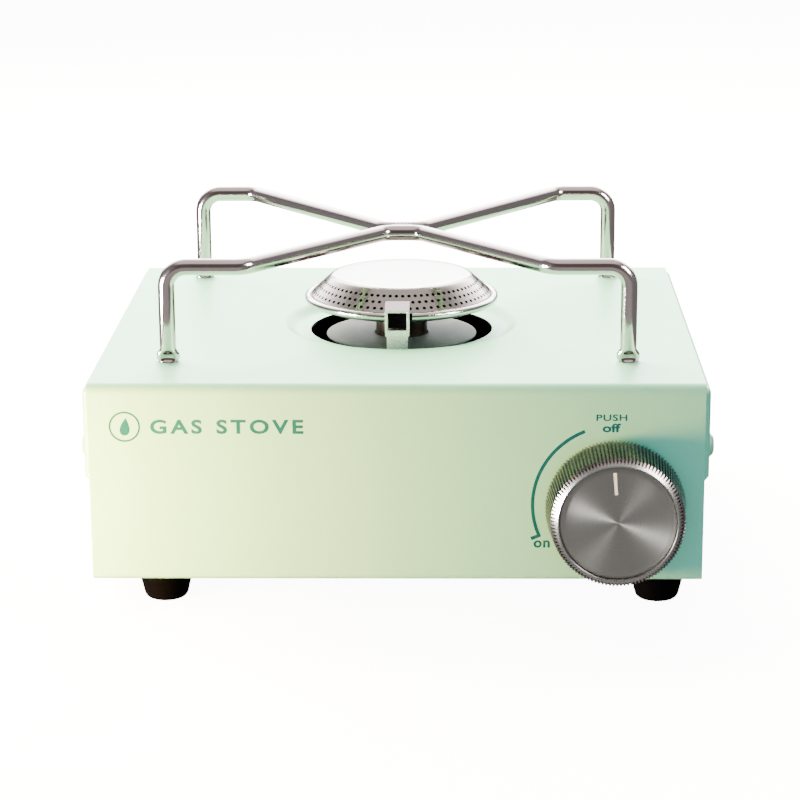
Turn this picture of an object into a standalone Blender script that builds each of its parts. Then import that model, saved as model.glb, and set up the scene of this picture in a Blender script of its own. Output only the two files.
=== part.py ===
"""Compact single-burner gas stove: sheet-metal body, wire pan support, knob, burner and gas train.

Frame: origin on the table under the centre of the whole stove, +X to the user's right, +Y to the
back, +Z up. All sizes are in metres, written as millimetres times MM.
"""

import math

import bmesh
import bpy
from mathutils import Matrix, Vector

MM = 0.001

# ---------------------------------------------------------------- driving dimensions
GAP = 0.3 * MM
SHEET = 1.0 * MM

BODY_WIDTH = 184.0 * MM
BODY_DEPTH = 160.0 * MM
BODY_HEIGHT = 60.0 * MM
FOOT_HEIGHT = 9.0 * MM
KNOB_REACH = 18.5 * MM
REAR_REACH = 1.6 * MM
STUD_REACH = 2.5 * MM

FRONT_Y = KNOB_REACH - (KNOB_REACH + BODY_DEPTH + REAR_REACH) / 2
BACK_Y = FRONT_Y + BODY_DEPTH
BOTTOM_Z = FOOT_HEIGHT
TOP_Z = BOTTOM_Z + BODY_HEIGHT

COVER_HALF_WIDTH = BODY_WIDTH / 2 - 1.5 * MM
COVER_BEND = 3.0 * MM
HEM_BEND = 1.6 * MM
HEM_DEPTH = 2.4 * MM
REAR_LIP = 9.0 * MM

BURNER_X = 0.0
BURNER_Y = FRONT_Y + 80.0 * MM
DISH_RADIUS = 38.0 * MM
DISH_FLAT_RADIUS = 33.0 * MM
DISH_HOLE_RADIUS = 29.0 * MM
DISH_DEPTH = 2.5 * MM

CAP_RADIUS = 22.4 * MM
CAP_Z = TOP_Z + 15.4 * MM
HEAD_BASE_RADIUS = 28.2 * MM
HEAD_BASE_Z = TOP_Z + 10.0 * MM
RIM_RADIUS = 31.0 * MM
RIM_BEAD = 1.25 * MM
RIM_Z = TOP_Z + 8.15 * MM
NECK_RADIUS = 8.2 * MM
NECK_WALL = 1.2 * MM
NECK_TOP_Z = TOP_Z + 2.9 * MM
COLLAR_RADIUS = NECK_RADIUS - NECK_WALL - GAP
REFLECTOR_RADIUS = 24.0 * MM
REFLECTOR_Z = TOP_Z - 4.7 * MM

WIRE_RADIUS = 2.5 * MM
SUPPORT_Z = TOP_Z + 29.0 * MM
LEG_X = 69.3 * MM
FRONT_LEG_Y = FRONT_Y + 28.2 * MM
REAR_LEG_Y = FRONT_Y + 143.6 * MM
FRONT_BEND_X = 46.0 * MM
REAR_BEND_X = 51.5 * MM
WELD_Y = FRONT_Y + 80.5 * MM
WELD_LEFT_X = -5.0 * MM
WELD_RIGHT_X = 6.0 * MM
LEG_DEPTH = 9.5 * MM
GUIDE_LENGTH = 10.0 * MM
LEG_CORNER = 6.0 * MM
PLAN_BEND = 6.0 * MM
EAR_WIDTH = 7.0 * MM
EAR_HEIGHT = 4.0 * MM
EAR_THICKNESS = 2.6 * MM

KNOB_X = 64.3 * MM
KNOB_Z = BOTTOM_Z + 23.6 * MM
KNOB_BACK_RADIUS = 20.7 * MM
KNOB_FRONT_RADIUS = 19.5 * MM
KNOB_FACE_RADIUS = 16.9 * MM
KNOB_BACK_GAP = 2.6 * MM
TURN_RANGE = math.radians(115.0)
PLUNGER_TRAVEL = 4.0 * MM
SPINDLE_RADIUS = 3.0 * MM
CAM_RADIUS = 7.0 * MM
CAM_THICKNESS = 5.0 * MM
CAM_Y = FRONT_Y + 4.5 * MM
CAM_TAIL = math.radians(25.0)

IGNITER_BACK_X = 26.0 * MM
IGNITER_FRONT_X = 52.0 * MM
IGNITER_Y = FRONT_Y + 9.0 * MM
IGNITER_SIZE = 12.0 * MM
PLUNGER_SIZE = 5.0 * MM
PLUNGER_GAP = 0.7 * MM

VALVE_FRONT_Y = FRONT_Y + 24.0 * MM
VALVE_SIZE = 20.0 * MM
VALVE_BACK_Y = VALVE_FRONT_Y + VALVE_SIZE
GAS_LINE_Z = BOTTOM_Z + 19.0 * MM

PORT_FACE_Y = BACK_Y - 8.0 * MM
MAGNET_OUTER = 18.8 * MM
MAGNET_INNER = 14.5 * MM
REGULATOR_RADIUS = 18.0 * MM

FOOT_RADIUS = 8.0 * MM
FOOT_LEFT_X = -70.0 * MM
FOOT_RIGHT_X = 78.0 * MM
FOOT_INSET = 12.0 * MM

SCREW_RADIUS = 1.5 * MM
SCREW_HOLE = 1.9 * MM
FLOOR_Z = BOTTOM_Z + 0.2 * MM
FLOOR_TOP_Z = FLOOR_Z + SHEET
STUD_Z = BOTTOM_Z + 37.0 * MM
STUD_INSET = 17.0 * MM
VENT_HALF = 1.5 * MM
VENT_BOTTOM_Z = BOTTOM_Z + 14.0 * MM
VENT_TOP_Z = BOTTOM_Z + 34.0 * MM
SHIELD_WIDTH = 7.5 * MM
SHIELD_SHEET = 0.8 * MM
TAB_WIDTH = 6.5 * MM
TAB_Y = BURNER_Y - 31.4 * MM
ELECTRODE_Y = BURNER_Y - 27.6 * MM


# ---------------------------------------------------------------- scene and materials
def clear_scene():
    for old in list(bpy.data.objects):
        bpy.data.objects.remove(old, do_unlink=True)


def make_material(name, colour, roughness, metallic):
    material = bpy.data.materials.new(name)
    material.use_nodes = True
    shader = material.node_tree.nodes["Principled BSDF"]
    shader.inputs["Base Color"].default_value = (*colour, 1.0)
    shader.inputs["Roughness"].default_value = roughness
    shader.inputs["Metallic"].default_value = metallic
    material.diffuse_color = (*colour, 1.0)
    return material


def make_materials():
    return {
        "powder_coat": make_material("mint_powder_coat", (0.60, 0.74, 0.63), 0.45, 0.0),
        "stainless": make_material("stainless_steel", (0.72, 0.72, 0.70), 0.18, 1.0),
        "zinc_steel": make_material("zinc_plated_steel", (0.55, 0.56, 0.57), 0.35, 1.0),
        "aluminium": make_material("brushed_aluminium", (0.74, 0.73, 0.70), 0.30, 1.0),
        "cast_aluminium": make_material("die_cast_aluminium", (0.50, 0.50, 0.51), 0.50, 1.0),
        "brass": make_material("brass", (0.76, 0.60, 0.28), 0.30, 1.0),
        "rubber": make_material("black_rubber", (0.02, 0.02, 0.02), 0.80, 0.0),
        "black_plastic": make_material("black_plastic", (0.03, 0.03, 0.03), 0.50, 0.0),
        "ceramic": make_material("white_ceramic", (0.85, 0.84, 0.80), 0.30, 0.0),
        "magnet": make_material("ferrite_magnet", (0.08, 0.08, 0.09), 0.45, 0.3),
        "cable": make_material("silicone_cable", (0.45, 0.10, 0.06), 0.55, 0.0),
    }


# ---------------------------------------------------------------- mesh helpers
def object_from_bmesh(bm, name, material, location=(0, 0, 0), smooth_angle=35.0):
    mesh = bpy.data.meshes.new(name)
    bmesh.ops.recalc_face_normals(bm, faces=bm.faces[:])
    bm.to_mesh(mesh)
    bm.free()
    obj = bpy.data.objects.new(name, mesh)
    obj.location = location
    bpy.context.scene.collection.objects.link(obj)
    if material is None:
        obj.hide_render = True
        obj.display_type = "WIRE"
    else:
        mesh.materials.append(material)
        mesh.shade_smooth()
        mesh.set_sharp_from_angle(angle=math.radians(smooth_angle))
    return obj


def add_box_to(bm, low, high):
    low, high = Vector(low), Vector(high)
    place = Matrix.Translation((low + high) / 2) @ Matrix.Diagonal((*(high - low), 1.0))
    return bmesh.ops.create_cube(bm, size=1.0, matrix=place)["verts"]


def add_cylinder_to(bm, start, end, radius, segments=16):
    start, end = Vector(start), Vector(end)
    turn = (end - start).to_track_quat("Z", "Y").to_matrix().to_4x4()
    place = Matrix.Translation((start + end) / 2) @ turn
    bmesh.ops.create_cone(
        bm,
        cap_ends=True,
        segments=segments,
        radius1=radius,
        radius2=radius,
        depth=(end - start).length,
        matrix=place,
    )


def box(name, low, high, material, bevel=0.0):
    bm = bmesh.new()
    add_box_to(bm, low, high)
    if bevel:
        bmesh.ops.bevel(
            bm, geom=bm.edges[:], offset=bevel, segments=2, profile=0.5, affect="EDGES"
        )
    return object_from_bmesh(bm, name, material)


def cutter_object(name, boxes=(), cylinders=()):
    """Hidden tool body: boxes as (low, high), cylinders as (start, end, radius)."""
    bm = bmesh.new()
    for low, high in boxes:
        add_box_to(bm, low, high)
    for start, end, radius in cylinders:
        add_cylinder_to(bm, start, end, radius)
    return object_from_bmesh(bm, name, None)


def boolean(target, tool, operation="DIFFERENCE"):
    modifier = target.modifiers.new(tool.name, "BOOLEAN")
    modifier.operation = operation
    modifier.solver = "EXACT"
    modifier.object = tool
    return target


def turned(name, profile, material, location=(0, 0, 0), axis="Z", segments=32):
    """Closed outline of (radius, height) points spun about the axis through location."""
    bm = bmesh.new()
    verts = [bm.verts.new((radius, 0.0, height)) for radius, height in profile]
    edges = [bm.edges.new((verts[i], verts[(i + 1) % len(verts)])) for i in range(len(verts))]
    bmesh.ops.spin(
        bm,
        geom=verts + edges,
        cent=(0, 0, 0),
        axis=(0, 0, 1),
        angle=2 * math.pi,
        steps=segments,
        use_merge=True,
    )
    bmesh.ops.remove_doubles(bm, verts=bm.verts[:], dist=1e-6)
    on_axis = [e for e in bm.edges if all(v.co.xy.length < 1e-7 for v in e.verts)]
    bmesh.ops.delete(bm, geom=on_axis, context="EDGES")
    turns = {
        "Z": Matrix.Identity(4),
        "-Y": Matrix.Rotation(math.radians(90), 4, "X"),
        "+Y": Matrix.Rotation(math.radians(-90), 4, "X"),
        "+X": Matrix.Rotation(math.radians(90), 4, "Y"),
        "-X": Matrix.Rotation(math.radians(-90), 4, "Y"),
    }
    bm.transform(turns[axis])
    return object_from_bmesh(bm, name, material, location)


def extruded(name, outline, vector, material, to_3d):
    """Flat outline, lifted to 3-D by to_3d(u, v) and extruded along vector."""
    bm = bmesh.new()
    face = bm.faces.new([bm.verts.new(to_3d(u, v)) for u, v in outline])
    swept = bmesh.ops.extrude_face_region(bm, geom=[face])
    moved = [item for item in swept["geom"] if isinstance(item, bmesh.types.BMVert)]
    bmesh.ops.translate(bm, verts=moved, vec=vector)
    return object_from_bmesh(bm, name, material)


def arc_points(corner, before, after, radius, steps):
    """Points of a round bend of the given radius that replaces a sharp corner of a path."""
    corner, before, after = Vector(corner), Vector(before), Vector(after)
    incoming = (corner - before).normalized()
    outgoing = (after - corner).normalized()
    angle = incoming.angle(outgoing)
    tangent = radius * math.tan(angle / 2)
    start = corner - incoming * tangent
    inward = (outgoing - incoming * incoming.dot(outgoing)).normalized()
    centre = start + inward * radius
    points = []
    for step in range(steps + 1):
        turn = angle * step / steps
        points.append(centre - inward * radius * math.cos(turn) + incoming * radius * math.sin(turn))
    return points


def filleted_path(corners, radii, steps):
    """Path through the corners, each inner corner rounded to its own radius."""
    points = [Vector(corners[0])]
    for index, radius in enumerate(radii, start=1):
        points += arc_points(corners[index], corners[index - 1], corners[index + 1], radius, steps)
    points.append(Vector(corners[-1]))
    return points


def smooth_path(points, samples):
    """Catmull-Rom curve through the points."""
    points = [Vector(p) for p in points]
    padded = [2 * points[0] - points[1]] + points + [2 * points[-1] - points[-2]]
    path = []
    for i in range(1, len(padded) - 2):
        a, b, c, d = padded[i - 1 : i + 3]
        for step in range(samples):
            t = step / samples
            path.append(
                0.5 * (2 * b + (c - a) * t + (2 * a - 5 * b + 4 * c - d) * t**2
                       + (3 * b - 3 * c + d - a) * t**3)
            )
    path.append(points[-1])
    return path


def ring_frames(path):
    """One (centre, side, up) frame for each path point, carried along without twist."""
    frames = []
    side = None
    for i, point in enumerate(path):
        before = path[max(i - 1, 0)]
        after = path[min(i + 1, len(path) - 1)]
        forward = (after - before).normalized()
        if side is None:
            side = forward.orthogonal().normalized()
        else:
            side = (side - forward * side.dot(forward)).normalized()
        frames.append((point, side, forward.cross(side)))
    return frames


def add_rings(bm, frames, radius, sides):
    rings = []
    for centre, side, up in frames:
        angles = [2 * math.pi * k / sides for k in range(sides)]
        rings.append(
            [bm.verts.new(centre + radius * (side * math.cos(a) + up * math.sin(a))) for a in angles]
        )
    for ring, following in zip(rings, rings[1:]):
        for k in range(sides):
            n = (k + 1) % sides
            bm.faces.new((ring[k], ring[n], following[n], following[k]))
    return rings


def tube(name, path, radius, material, sides=10, bore=0.0):
    """Round bar along a path, or a pipe with open ends where a bore radius is given."""
    bm = bmesh.new()
    frames = ring_frames(path)
    outer = add_rings(bm, frames, radius, sides)
    if bore:
        inner = add_rings(bm, frames, bore, sides)
        for end in (0, -1):
            for k in range(sides):
                n = (k + 1) % sides
                bm.faces.new((outer[end][k], outer[end][n], inner[end][n], inner[end][k]))
    else:
        bm.faces.new(outer[0])
        bm.faces.new(outer[-1])
    return object_from_bmesh(bm, name, material, smooth_angle=50.0)


# ---------------------------------------------------------------- casing
def cover_outline():
    """Side view of the bent sheet: bottom hem, front, top and rear lip, all one thickness."""
    outer = [
        (FRONT_Y + HEM_DEPTH, BOTTOM_Z),
        (FRONT_Y, BOTTOM_Z),
        (FRONT_Y, TOP_Z),
        (BACK_Y, TOP_Z),
        (BACK_Y, TOP_Z - REAR_LIP),
    ]
    inner = [
        (FRONT_Y + HEM_DEPTH, BOTTOM_Z + SHEET),
        (FRONT_Y + SHEET, BOTTOM_Z + SHEET),
        (FRONT_Y + SHEET, TOP_Z - SHEET),
        (BACK_Y - SHEET, TOP_Z - SHEET),
        (BACK_Y - SHEET, TOP_Z - REAR_LIP),
    ]
    bends = [HEM_BEND, COVER_BEND, COVER_BEND]
    outer_path = filleted_path([(y, z, 0) for y, z in outer], bends, 4)
    inner_path = filleted_path([(y, z, 0) for y, z in inner], [b - SHEET for b in bends], 4)
    return [(p.x, p.y) for p in outer_path] + [(p.x, p.y) for p in reversed(inner_path)]


def dish_profile(steps=4):
    """Pressed ring round the burner opening: plate level outside, DISH_DEPTH lower at the hole."""
    skin = 0.03 * MM
    top = [(DISH_RADIUS, -skin)]
    for step in range(steps + 1):
        share = step / steps
        radius = DISH_RADIUS - 1.0 * MM - share * (DISH_RADIUS - 1.0 * MM - DISH_FLAT_RADIUS)
        fall = DISH_DEPTH * (3 * share**2 - 2 * share**3)
        top.append((radius, -skin - fall))
    top.append((DISH_HOLE_RADIUS, -skin - DISH_DEPTH))
    thickness = SHEET - 2 * skin
    return top + [(radius, height - thickness) for radius, height in reversed(top)]


def leg_places():
    return {
        "front_left": (-LEG_X, FRONT_LEG_Y),
        "front_right": (LEG_X, FRONT_LEG_Y),
        "rear_left": (-LEG_X, REAR_LEG_Y),
        "rear_right": (LEG_X, REAR_LEG_Y),
    }


def make_top_cover(material):
    cover = extruded(
        "top_cover",
        cover_outline(),
        (2 * COVER_HALF_WIDTH, 0, 0),
        material,
        lambda y, z: (-COVER_HALF_WIDTH, y, z),
    )
    burner_hole = (
        (BURNER_X, BURNER_Y, TOP_Z - 8 * MM),
        (BURNER_X, BURNER_Y, TOP_Z + 5 * MM),
        DISH_RADIUS - 0.6 * MM,
    )
    opening = bmesh.new()
    add_cylinder_to(opening, *burner_hole, segments=36)
    boolean(cover, object_from_bmesh(opening, "cutter_burner_opening", None))
    dish = turned(
        "tool_dish", dish_profile(), material, (BURNER_X, BURNER_Y, TOP_Z), segments=36
    )
    dish.hide_render = True
    dish.display_type = "WIRE"
    boolean(cover, dish, "UNION")
    legs = [
        ((x, y, TOP_Z - 4 * MM), (x, y, TOP_Z + 4 * MM), WIRE_RADIUS + 0.4 * MM)
        for x, y in leg_places().values()
    ]
    spindle = (
        (KNOB_X, FRONT_Y - 3 * MM, KNOB_Z),
        (KNOB_X, FRONT_Y + 3 * MM, KNOB_Z),
        SPINDLE_RADIUS + 1.5 * MM,
    )
    notch = (
        (-4.5 * MM, BURNER_Y - 33.2 * MM, TOP_Z - 9 * MM),
        (4.5 * MM, BURNER_Y - 27.0 * MM, TOP_Z + 2 * MM),
    )
    boolean(cover, cutter_object("cutter_cover_holes", [notch], legs + [spindle]))
    return cover


def make_base_pan(material):
    half_width = BODY_WIDTH / 2 - 2.7 * MM
    front = FRONT_Y + HEM_DEPTH + GAP
    back = BACK_Y - 2.7 * MM
    wall_height = 4.2 * MM
    pan = box(
        "base_pan",
        (-half_width, front, FLOOR_Z),
        (half_width, back, FLOOR_Z + wall_height),
        material,
    )
    cavity = (
        (-half_width + SHEET, front + SHEET, FLOOR_TOP_Z),
        (half_width - SHEET, back - SHEET, FLOOR_Z + 2 * wall_height),
    )
    boolean(pan, cutter_object("cutter_pan_cavity", [cavity]))
    slots = []
    for row in (-1, 1):
        for index in range(5):
            x = (index - 2) * 14 * MM - 30 * MM
            y = BURNER_Y + row * 34 * MM
            slots.append(
                ((x - 5 * MM, y - 1.5 * MM, FLOOR_Z - MM), (x + 5 * MM, y + 1.5 * MM, FLOOR_Z + 2 * MM))
            )
    holes = [
        ((x, y, FLOOR_Z - MM), (x, y, FLOOR_Z + 2 * MM), SCREW_HOLE)
        for x, y in list(foot_places().values()) + burner_screw_places()
    ]
    boolean(pan, cutter_object("cutter_pan_openings", slots, holes))
    return pan


def side_block_outline(inset):
    """Front view of a side panel, right-hand side; the upper field stands 1.3 mm proud."""
    flange_x = BODY_WIDTH / 2 - 8 * MM
    lower_x = BODY_WIDTH / 2 - 1.3 * MM
    step_z = BOTTOM_Z + 30 * MM
    open_side = 0.5 * MM if inset else 0.0
    return [
        (flange_x - open_side, BOTTOM_Z + SHEET + GAP - open_side),
        (lower_x - inset, BOTTOM_Z + SHEET + GAP - open_side),
        (lower_x - inset, step_z + inset * 0.4),
        (BODY_WIDTH / 2 - inset, step_z + 1.6 * MM + inset * 0.4),
        (BODY_WIDTH / 2 - inset, TOP_Z - SHEET - GAP - inset),
        (flange_x - open_side, TOP_Z - SHEET - GAP - inset),
    ]


def round_outer_edges(obj, side, radius):
    """Rounds a side panel's front, rear and top outer edges."""
    bm = bmesh.new()
    bm.from_mesh(obj.data)
    ends = (FRONT_Y + SHEET + GAP, BACK_Y - SHEET - GAP)
    edges = []
    for edge in bm.edges:
        a, b = (v.co for v in edge.verts)
        outside = min(side * a.x, side * b.x) > BODY_WIDTH / 2 - 2 * MM
        at_end = any(abs(a.y - y) < 1e-6 and abs(b.y - y) < 1e-6 for y in ends)
        at_top = min(a.z, b.z) > TOP_Z - SHEET - 2 * GAP
        level = abs(a.z - b.z) < 1e-6
        if (outside and at_end and not level) or (at_top and (outside or at_end)):
            edges.append(edge)
    bmesh.ops.bevel(bm, geom=edges, offset=radius, segments=3, profile=0.5, affect="EDGES")
    bmesh.ops.recalc_face_normals(bm, faces=bm.faces[:])
    bm.to_mesh(obj.data)
    bm.free()


def make_side_panel(name, side, material):
    front = FRONT_Y + SHEET + GAP
    back = BACK_Y - SHEET - GAP
    panel = extruded(
        name,
        side_block_outline(0.0),
        (0, back - front, 0),
        material,
        lambda x, z: (side * x, front, z),
    )
    round_outer_edges(panel, side, 1.8 * MM)
    cavity = extruded(
        "cutter_" + name,
        side_block_outline(SHEET),
        (0, back - front - 2 * SHEET, 0),
        None,
        lambda x, z: (side * x, front + SHEET, z),
    )
    boolean(panel, cavity)
    flange_x = side * (BODY_WIDTH / 2 - 6 * MM)
    holes = [
        (
            (side * (BODY_WIDTH / 2 - 4 * MM), y, STUD_Z),
            (side * (BODY_WIDTH / 2 + 2 * MM), y, STUD_Z),
            SCREW_HOLE,
        )
        for y in stud_rows()
    ]
    holes += [
        ((flange_x, BACK_Y - 5 * MM, z), (flange_x, BACK_Y, z), SCREW_HOLE) for z in rear_screw_rows()
    ]
    boolean(panel, cutter_object("cutter_holes_" + name, (), holes))
    return panel


def make_rear_panel(material):
    panel = box(
        "rear_panel",
        (-COVER_HALF_WIDTH, BACK_Y - SHEET, BOTTOM_Z + GAP),
        (COVER_HALF_WIDTH, BACK_Y, TOP_Z - REAR_LIP - 0.5 * MM),
        material,
    )
    vents = []
    for index in range(8):
        x = -66 * MM + index * 8 * MM
        vents.append(
            (
                (x - VENT_HALF, BACK_Y - 3 * MM, VENT_BOTTOM_Z),
                (x + VENT_HALF, BACK_Y + MM, VENT_TOP_Z),
            )
        )
    holes = [
        ((x, BACK_Y - 3 * MM, z), (x, BACK_Y + MM, z), SCREW_HOLE) for x, z in rear_screw_places().values()
    ]
    port = (
        (KNOB_X, BACK_Y - 3 * MM, KNOB_Z),
        (KNOB_X, BACK_Y + MM, KNOB_Z),
        MAGNET_OUTER + 0.7 * MM,
    )
    boolean(panel, cutter_object("cutter_rear_openings", vents, holes + [port]))
    return panel


# ---------------------------------------------------------------- feet and fasteners
def foot_places():
    return {
        "front_left": (FOOT_LEFT_X, FRONT_Y + FOOT_INSET),
        "front_right": (FOOT_RIGHT_X, FRONT_Y + FOOT_INSET),
        "rear_left": (FOOT_LEFT_X, BACK_Y - FOOT_INSET),
        "rear_right": (FOOT_RIGHT_X, BACK_Y - FOOT_INSET),
    }


def burner_screw_places():
    return [(BURNER_X, BURNER_Y - 18 * MM), (BURNER_X, BURNER_Y + 18 * MM)]


def stud_rows():
    return (FRONT_Y + STUD_INSET, BACK_Y - STUD_INSET)


def rear_screw_rows():
    return (BOTTOM_Z + 7 * MM, BOTTOM_Z + 44 * MM)


def rear_screw_places():
    low, high = rear_screw_rows()
    x = BODY_WIDTH / 2 - 6 * MM
    return {
        "lower_left": (-x, low),
        "lower_right": (x, low),
        "upper_left": (-x, high),
        "upper_right": (x, high),
    }


def make_feet(materials):
    head = FLOOR_Z - GAP
    foot = [
        (4.0 * MM, 0.0),
        (5.4 * MM, 0.0),
        (6.2 * MM, 0.3 * MM),
        (6.6 * MM, 1.1 * MM),
        (FOOT_RADIUS, 7.4 * MM),
        (FOOT_RADIUS, head),
        (SCREW_HOLE, head),
        (SCREW_HOLE, 5.0 * MM),
        (4.0 * MM, 5.0 * MM),
    ]
    screw = screw_profile(3.0 * MM, 1.7 * MM, 9.5 * MM)
    for place, (x, y) in foot_places().items():
        turned("foot_" + place, foot, materials["rubber"], (x, y, 0), segments=16)
        turned(
            "foot_screw_" + place, screw, materials["zinc_steel"], (x, y, 3.0 * MM), segments=10
        )


def screw_profile(head_radius, head_height, length):
    """Pan-head screw standing on its head: head from 0 up, shank above it."""
    return [
        (0.0, 0.0),
        (head_radius * 0.7, 0.0),
        (head_radius, head_height * 0.6),
        (head_radius, head_height),
        (SCREW_RADIUS, head_height),
        (SCREW_RADIUS, head_height + length),
        (0.0, head_height + length),
    ]


def make_fasteners(material):
    stud = [
        (0.0, 0.0),
        (2.6 * MM, 0.0),
        (3.5 * MM, 0.7 * MM),
        (3.5 * MM, STUD_REACH - GAP),
        (SCREW_RADIUS, STUD_REACH - GAP),
        (SCREW_RADIUS, 6.0 * MM),
        (0.0, 6.0 * MM),
    ]
    front, rear = stud_rows()
    for side, side_name, axis in ((-1, "left", "+X"), (1, "right", "-X")):
        for y, row in ((front, "front"), (rear, "rear")):
            tip = (side * (BODY_WIDTH / 2 + STUD_REACH), y, STUD_Z)
            turned(f"side_stud_{side_name}_{row}", stud, material, tip, axis, segments=16)
    screw = screw_profile(2.8 * MM, REAR_REACH - GAP, 6.0 * MM)
    for place, (x, z) in rear_screw_places().items():
        turned("rear_screw_" + place, screw, material, (x, BACK_Y + REAR_REACH, z), "-Y", 10)
    for number, (x, y) in enumerate(burner_screw_places(), start=1):
        head = screw_profile(2.8 * MM, 1.4 * MM, 4.5 * MM)
        place = (x, y, FLOOR_Z - 1.7 * MM)
        turned(f"burner_screw_{number}", head, material, place, segments=10)


# ---------------------------------------------------------------- pan support
def make_leg_guides(material):
    top = TOP_Z - SHEET - GAP
    inner = WIRE_RADIUS + GAP
    profile = [
        (inner, top),
        (inner, top - GUIDE_LENGTH),
        (inner + 1.2 * MM, top - GUIDE_LENGTH),
        (inner + 1.2 * MM, top - SHEET),
        (inner + 3.5 * MM, top - SHEET),
        (inner + 3.5 * MM, top),
    ]
    for place, (x, y) in leg_places().items():
        turned("leg_guide_" + place, profile, material, (x, y, 0), segments=12)


def make_support_wire(name, leg_y, bend_x, middle_y, material):
    """One bent wire: leg, corner, run inwards, slant to the weld, and the same back out."""
    foot_z = TOP_Z - LEG_DEPTH
    corners = [
        (-LEG_X, leg_y, foot_z),
        (-LEG_X, leg_y, SUPPORT_Z),
        (-bend_x, leg_y, SUPPORT_Z),
        (WELD_LEFT_X, middle_y, SUPPORT_Z),
        (WELD_RIGHT_X, middle_y, SUPPORT_Z),
        (bend_x, leg_y, SUPPORT_Z),
        (LEG_X, leg_y, SUPPORT_Z),
        (LEG_X, leg_y, foot_z),
    ]
    radii = [LEG_CORNER, PLAN_BEND, PLAN_BEND, PLAN_BEND, PLAN_BEND, LEG_CORNER]
    wire = tube(name, filleted_path(corners, radii, 4), WIRE_RADIUS, material, sides=10)
    for side, side_name in ((-1, "left"), (1, "right")):
        bm = bmesh.new()
        half = Vector((EAR_WIDTH / 2, EAR_THICKNESS / 2, EAR_HEIGHT / 2))
        centre = Vector((side * LEG_X, leg_y, TOP_Z + GAP + EAR_HEIGHT / 2))
        add_box_to(bm, centre - half, centre + half)
        bmesh.ops.bevel(
            bm, geom=bm.edges[:], offset=0.6 * MM, segments=1, profile=0.5, affect="EDGES"
        )
        ear = object_from_bmesh(bm, f"tool_ear_{name}_{side_name}", None)
        boolean(wire, ear, "UNION")
    return wire


def make_pan_support(material):
    half_gap = WIRE_RADIUS + GAP / 2
    make_support_wire("front_wire", FRONT_LEG_Y, FRONT_BEND_X, WELD_Y - half_gap, material)
    make_support_wire("rear_wire", REAR_LEG_Y, REAR_BEND_X, WELD_Y + half_gap, material)


# ---------------------------------------------------------------- burner
def make_burner(materials):
    centre = (BURNER_X, BURNER_Y, 0)
    wall = 0.8 * MM
    head = [
        (0.0, CAP_Z),
        (CAP_RADIUS - 0.6 * MM, CAP_Z),
        (CAP_RADIUS, CAP_Z - 0.3 * MM),
        (HEAD_BASE_RADIUS, HEAD_BASE_Z),
        (HEAD_BASE_RADIUS, RIM_Z - 0.45 * MM),
        (HEAD_BASE_RADIUS - wall, RIM_Z - 0.45 * MM),
        (HEAD_BASE_RADIUS - wall, HEAD_BASE_Z - 0.4 * MM),
        (CAP_RADIUS - 0.4 * MM, CAP_Z - 1.1 * MM),
        (0.0, CAP_Z - 1.1 * MM),
    ]
    turned("burner_head", head, materials["stainless"], centre, segments=36)

    bead_centre = RIM_RADIUS - RIM_BEAD
    bead = []
    for step in range(7):
        angle = math.radians(-120 + 285 * step / 6)
        bead.append((bead_centre + RIM_BEAD * math.cos(angle), RIM_Z + RIM_BEAD * math.sin(angle)))
    bowl = [
        (COLLAR_RADIUS - wall, TOP_Z - 2.8 * MM),
        (COLLAR_RADIUS, TOP_Z - 2.8 * MM),
        (COLLAR_RADIUS, NECK_TOP_Z + GAP),
        (26.5 * MM, RIM_Z - 2.6 * MM),
        *bead,
        (HEAD_BASE_RADIUS + GAP, RIM_Z - 0.75 * MM),
        (26.2 * MM, RIM_Z - 1.6 * MM),
        (COLLAR_RADIUS, NECK_TOP_Z + SHEET + GAP),
        (COLLAR_RADIUS - wall, NECK_TOP_Z + SHEET),
    ]
    bowl_object = turned("burner_bowl", bowl, materials["stainless"], centre, segments=36)
    notch = (
        (-SHIELD_WIDTH / 2 - GAP, BURNER_Y - 33 * MM, RIM_Z - 1.5 * MM),
        (SHIELD_WIDTH / 2 + GAP, BURNER_Y - HEAD_BASE_RADIUS - GAP, RIM_Z + 3 * MM),
    )
    boolean(bowl_object, cutter_object("cutter_rim_notch", [notch]))

    reflector = [
        (NECK_RADIUS + GAP, REFLECTOR_Z),
        (REFLECTOR_RADIUS - 0.5 * MM, REFLECTOR_Z),
        (REFLECTOR_RADIUS, REFLECTOR_Z + 0.5 * MM),
        (REFLECTOR_RADIUS - 0.5 * MM, REFLECTOR_Z + SHEET),
        (NECK_RADIUS + GAP, REFLECTOR_Z + SHEET),
    ]
    turned("reflector_plate", reflector, materials["zinc_steel"], centre, segments=32)

    corners = [
        (37 * MM, BURNER_Y, GAS_LINE_Z),
        (BURNER_X, BURNER_Y, GAS_LINE_Z),
        (BURNER_X, BURNER_Y, NECK_TOP_Z),
    ]
    elbow = filleted_path(corners, [13 * MM], 6)
    tube("mixing_tube", elbow, NECK_RADIUS, materials["cast_aluminium"], 20, NECK_RADIUS - NECK_WALL)
    make_burner_bracket(materials["zinc_steel"])
    make_ignition_parts(materials)


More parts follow.
